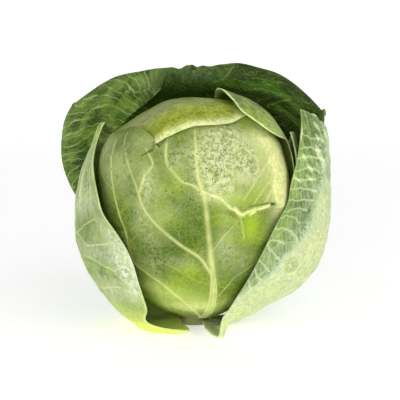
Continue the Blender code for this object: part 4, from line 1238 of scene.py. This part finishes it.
def dress_hood(net, s, t, margin):
    """Deep green inside with wrinkles across the right half and fine veins on the left, and
    greyed along the rolled rim. The wrinkles are painted dark in their hollows and lime and
    pale on their ridges, as painted shade and light; the gap behind the crown is painted shade
    and the fold at the left is painted lighter."""
    veins = side_veins(61, 14, 0.26, rungs=5)
    lines = vein_lines(net, with_midrib(veins, 0.98), (2.4, 0.7, 0.5, 0.4),
                       (0.7, 0.55, 0.35, 0.25))
    vein, _ = line_field(net, lines + drawn_lines(net, HOOD_LINES))
    crumple = wrinkles(16.0 * t, 30.0 * s, 65) + 0.5 * wrinkles(34.0 * t, 62.0 * s, 66)
    rim = bell(margin / (11.0 * MM)) * smooth((s - 0.3) / 0.2)
    right_half = smooth((-t - 0.05) / 0.15) * smooth((s - 0.78) / 0.05)
    folds = wrinkles(70.0 * s, 5.0 * t + 14.0 * s, 67) + 0.4 * wrinkles(130.0 * s, 12.0 * t, 68)
    left = smooth((t - 0.35) / 0.2) * smooth((s - 0.5) / 0.1)
    # Painted light: a lighter, saturated green on the inside of the fold at the left.
    fold_light = patches(t, s, [(0.52, 0.89, 0.1, 0.03, 0.9), (0.62, 0.85, 0.08, 0.03, 0.9)])
    # Painted shade in the gap between the hood and the crown.
    gap_shade = patches(t, s, [(0.0, 0.93, 0.3, 0.03, 1.0), (0.1, 0.88, 0.4, 0.06, 1.0)])
    angle = np.arctan2((s - 0.78) * 220.0, (t - 0.15) * 120.0)
    marks = {
        "row": np.where(t > 0.15, 14.0 * angle, 70.0 * s + 1.2 * crumple),
        "rows": np.clip(smooth((t - 0.35) / 0.15) * smooth((s - 0.25) / 0.1)
                        + 0.4 * right_half, 0.0, 1.0) * (1.0 - gap_shade),
        "vein": vein * np.where(t > 0.0, 0.6, 0.55) * (1.0 - 0.8 * gap_shade),
        "pale": np.clip(0.35 * bell(margin / (1.2 * MM)) + 0.5 * smooth((0.2 - s) / 0.15)
                        + 0.3 * left * smooth(crumple / 0.5), 0.0, 1.0),
        "deep": np.clip(0.75 - 0.35 * rim - 0.65 * left + 0.9 * right_half * smooth(-folds / 0.5)
                        + 0.3 * smooth(-crumple / 0.6) + 0.25 * right_half + gap_shade,
                        0.0, 1.0),
        "lime": np.clip(0.9 * right_half * smooth(folds / 0.5) * (1 - rim) + 0.9 * fold_light
                        + 0.5 * left * smooth((crumple - 0.1) / 0.5) * (1 - rim), 0.0, 1.0)
                * (1.0 - gap_shade),
        "bloom": np.clip(0.6 * rim * smooth((crumple + 0.6) / 0.9) * np.where(t < -0.3, 0.35, 1.0)
                         + 0.12 * left, 0.0, 1.0),
    }
    fade = smooth(margin / (3.0 * MM))
    rise = 0.5 * vein + (right_half * folds + 0.7 * crumple) * fade
    return marks, rise, rise


hood_skin = leaf_skin("dark_outer_leaf", blade="#54721a", deep="#203600", pale="#98b04e",
                      bloom="#66774a", vein="#a9bd74", lime="#3e6600", back="#6f8c4c", glow=0.25,
                      veinlets=0.08, marbling=0.8, row_veins=0.65)
leaf_piece("back_outer_leaf", (252, 270), 2, False, dress_hood, hood_skin)

# %% [markdown]
# ## The packed head and the cut stem
#
# Little shows of the packed inner leaves: a glimpse between the leaves of the head. The
# stem is a stump, cut flat, woody outside and pithy within.

# %% Packed head
HEAD_FOLD_STEP = 1.3 * MM
HEAD_FOLDS = [(150.0, 52.0, 0.35), (262.0, 47.0, -0.3), (35.0, 58.0, 0.25)]
STEM_CUT_RADIUS = 12.8 * MM
STEM_HEIGHT = 10.4 * MM


def head_fold(direction):
    """Steps where leaf edges overlap: each is the edge of a round cap about a tilted axis,
    raised on its inside and fading towards its middle."""
    height = np.zeros(len(direction))
    for azimuth, size, lean in HEAD_FOLDS:
        a = np.radians(azimuth)
        axis = np.array([np.sin(a) * 0.55, -np.cos(a) * 0.55, 0.83])
        axis /= np.linalg.norm(axis)
        angle = np.degrees(np.arccos(np.clip(direction @ axis, -1.0, 1.0)))
        wave = lean * 8.0 * np.sin(3.0 * np.arctan2(direction[:, 0], direction[:, 1]))
        inside = size + wave - angle
        height += smooth(inside / 5.0) * smooth((size - inside) / size)
    return height


def ring_faces(rows, columns):
    """Faces of a closed form: a point, rows of rings, and a point, turning the right way."""
    j = np.arange(columns)
    k = (j + 1) % columns
    last = 1 + rows * columns
    top = last - columns
    faces = np.stack([0 * j, 1 + k, 1 + j], axis=-1).tolist()
    for i in range(rows - 1):
        q = 1 + i * columns
        n = q + columns
        faces += np.stack([q + j, q + k, n + k, n + j], axis=-1).tolist()
    return faces + np.stack([0 * j + last, top + j, top + k], axis=-1).tolist()


def make_head():
    """Rings round the head at even polar angles, with the folds raised on its radius."""
    rows = 90
    columns = 120
    polar = np.radians(np.linspace(0.0, 180.0, rows + 2))[1:-1]
    turn = np.radians(np.linspace(0.0, 360.0, columns, endpoint=False))
    p, a = np.meshgrid(polar, turn, indexing="ij")
    ring = np.stack([np.sin(p) * np.sin(a), -np.sin(p) * np.cos(a), -np.cos(p)], axis=-1)
    points = np.concatenate([[[0.0, 0.0, -1.0]], ring.reshape(-1, 3), [[0.0, 0.0, 1.0]]])
    radius = head_radius(np.arccos(np.clip(-points[:, 2], -1.0, 1.0)))
    radius = radius + HEAD_FOLD_STEP * (head_fold(points) - 2.4)
    verts = settle(points * radius[:, None] + HEAD_CENTRE)
    verts[:, 2] = np.maximum(verts[:, 2], STEM_HEIGHT + 0.4 * MM)
    return verts, ring_faces(rows, columns)


head_verts, head_faces = make_head()
head_skin = leaf_skin("packed_inner_leaf", blade="#b2c25c", deep="#8aa23c", pale="#dfe7ac",
                      bloom="#c6cf9e", vein="#dbe4a6", lime="#b2c63c")
inner_head = mesh_piece("inner_head_leaves", head_verts, head_faces, {"pale": 0.2}, head_skin)
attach(inner_head, "root")
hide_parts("inner_head")
print(inner_head.name, "has", len(head_faces), "faces")

# %% Cut stem
def make_stem():
    """A profile of (height, part of the radius) carried round, with five low lobes and
    the scars of shed leaves as shallow steps."""
    profile = [(0.0, 0.30), (0.0, 0.62), (0.0, 0.90), (0.05, 0.97), (0.6, 1.0), (2.2, 0.99),
               (3.5, 0.96), (5.0, 0.94), (6.5, 0.90), (8.5, 0.88), (10.4, 0.85), (10.4, 0.4)]
    columns = 64
    height, part = np.array(profile).T
    turn = np.linspace(0.0, 2.0 * np.pi, columns, endpoint=False)
    h, a = np.meshgrid(height * MM, turn, indexing="ij")
    r = STEM_CUT_RADIUS * part[:, None] * (1.0 + 0.03 * np.sin(5.0 * a + 0.7))
    scar_and_shadow = bell((h / MM - 6.0 - 3.0 * np.sin(2 * a)) / 0.8) * (part[:, None] > 0.8)
    r = r - 0.4 * MM * scar_and_shadow
    rings = np.stack([r * np.cos(a), r * np.sin(a), h], axis=-1).reshape(-1, 3)
    verts = np.concatenate([[[0.0, 0.0, 0.0]], rings, [[0.0, 0.0, STEM_HEIGHT]]])
    return verts, ring_faces(len(profile), columns)


def stem_wood(name):
    """Cut stem tissue: a pale pith with fibres 0.8 mm apart and a browner rind."""
    material = bpy.data.materials.new(name)
    material.use_nodes = True
    tree = material.node_tree
    shader = tree.nodes["Principled BSDF"]
    place = add(tree, "TexCoord").outputs["Object"]
    fibre = add(tree, "TexNoise", {"Vector": place, "Scale": 1000.0 / 0.8}).outputs[0]
    stain = add(tree, "TexNoise", {"Vector": place, "Scale": 1000.0 / 6.0}).outputs[0]
    away = add(tree, "VectorMath", {0: place, 1: (1.0, 1.0, 0.0)}, operation="MULTIPLY")
    away = add(tree, "VectorMath", {0: away.outputs[0]}, operation="LENGTH").outputs["Value"]
    rind = between(tree, away, 9.0 * MM, 12.4 * MM)
    wood = mixed(tree, between(tree, fibre, 0.35, 0.7), colour("#a8a878"), colour("#8f925c"))
    wood = mixed(tree, maths(tree, "MULTIPLY", rind, 0.7), wood, colour("#666a34"))
    wood = mixed(tree, between(tree, stain, 0.5, 0.75, 0.0, 0.5), wood, colour("#5c4f2a"))
    tree.links.new(wood, shader.inputs["Base Color"])
    bump = add(tree, "Bump", {"Height": fibre, "Strength": 0.4, "Distance": 0.3 * MM})
    tree.links.new(bump.outputs[0], shader.inputs["Normal"])
    shader.inputs["Roughness"].default_value = 0.75
    return material


stem_verts, stem_faces = make_stem()
stem = mesh_piece("cut_stem", stem_verts, stem_faces, {}, stem_wood("cut_stem_wood"), 40.0)
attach(stem, "root")
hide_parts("stem")
print(stem.name, "has", len(stem_faces), "faces")

# %% [markdown]
# ## The studio
#
# The cabbage stands in a wide white dish whose rim curves up all round, so that no horizon
# shows from any side. The dish glows a little and so does the sky. A broad lamp stands above
# and to the right of the camera, and a smaller one low in front lifts the shadows.

# %% Sweep
def make_sweep():
    """A profile turned round the upright axis: flat to a radius of 2 m, then a quarter round
    of 0.8 m, then upright to 1.6 m."""
    bend = np.radians(np.linspace(0.0, 90.0, 13))
    radius = np.concatenate([[0.25, 1.0, 2.0], 2.0 + 0.8 * np.sin(bend[1:]), [2.8]])
    height = np.concatenate([[0.0, 0.0, 0.0], 0.8 - 0.8 * np.cos(bend[1:]), [1.6]])
    turn = np.radians(np.arange(0.0, 360.0, 5.0))
    x = np.outer(radius, np.cos(turn)).ravel()
    y = np.outer(radius, np.sin(turn)).ravel()
    verts = np.stack([x, y, np.repeat(height, len(turn))], axis=-1)
    number = np.arange(len(verts)).reshape(len(radius), len(turn))
    number = np.concatenate([number, number[:, :1]], axis=1)
    return verts, [list(range(len(turn)))] + quads(number)[:, ::-1].tolist()


paper = bpy.data.materials.new("white_sweep_paper")
paper.use_nodes = True
matt = paper.node_tree.nodes["Principled BSDF"]
matt.inputs["Base Color"].default_value = colour("#eaeaea")
matt.inputs["Roughness"].default_value = 0.9
matt.inputs["Emission Color"].default_value = colour("#ffffff")
matt.inputs["Emission Strength"].default_value = 0.47
sweep_verts, sweep_faces = make_sweep()
sweep_mesh = bpy.data.meshes.new("sweep")
sweep_mesh.from_pydata(sweep_verts.tolist(), [], sweep_faces)
sweep_mesh.materials.append(paper)
sweep_mesh.shade_smooth()
sweep = bpy.data.objects.new("sweep", sweep_mesh)
bpy.context.scene.collection.objects.link(sweep)

# %% Light
bpy.context.scene.view_settings.view_transform = "Standard"
world = bpy.data.worlds.new("studio")
bpy.context.scene.world = world
world.use_nodes = True
sky = world.node_tree.nodes["Background"]
sky.inputs["Color"].default_value = colour("#ffffff")
sky.inputs["Strength"].default_value = 0.27


def lamp(name, place, aim, size, watts):
    """A square area lamp that points from its place at its aim."""
    light = bpy.data.lights.new(name, "AREA")
    light.size = size
    light.energy = watts
    made = bpy.data.objects.new(name, light)
    bpy.context.scene.collection.objects.link(made)
    made.location = place
    away = Vector(aim) - Vector(place)
    made.rotation_euler = away.to_track_quat("-Z", "Y").to_euler()


lamp("key", (0.9, -1.3, 1.5), (0.0, 0.0, 0.1), 1.6, 10.5)
lamp("fill", (-0.2, -1.8, 0.36), (0.0, 0.0, 0.1), 0.7, 12.0)

# %% Camera
CAMERA_DISTANCE = 900.0 * MM
CAMERA_RISE = 9.0
CAMERA_TARGET = (5.0 * MM, 0.0, 104.0 * MM)
VIEW_WIDTH = 332.0 * MM

rise = np.radians(CAMERA_RISE)
eye = bpy.data.cameras.new("camera")
eye.sensor_width = 36.0
eye.lens = 36.0 * CAMERA_DISTANCE / VIEW_WIDTH
camera = bpy.data.objects.new("camera", eye)
bpy.context.scene.collection.objects.link(camera)
camera.location = (CAMERA_TARGET[0], -CAMERA_DISTANCE * np.cos(rise),
                   CAMERA_TARGET[2] + CAMERA_DISTANCE * np.sin(rise))
camera.rotation_euler = (np.radians(90.0) - rise, 0.0, 0.0)
bpy.context.scene.camera = camera
print("lens:", round(eye.lens, 1), "mm")

# %% Bring the scene up to date
bpy.context.view_layer.update()
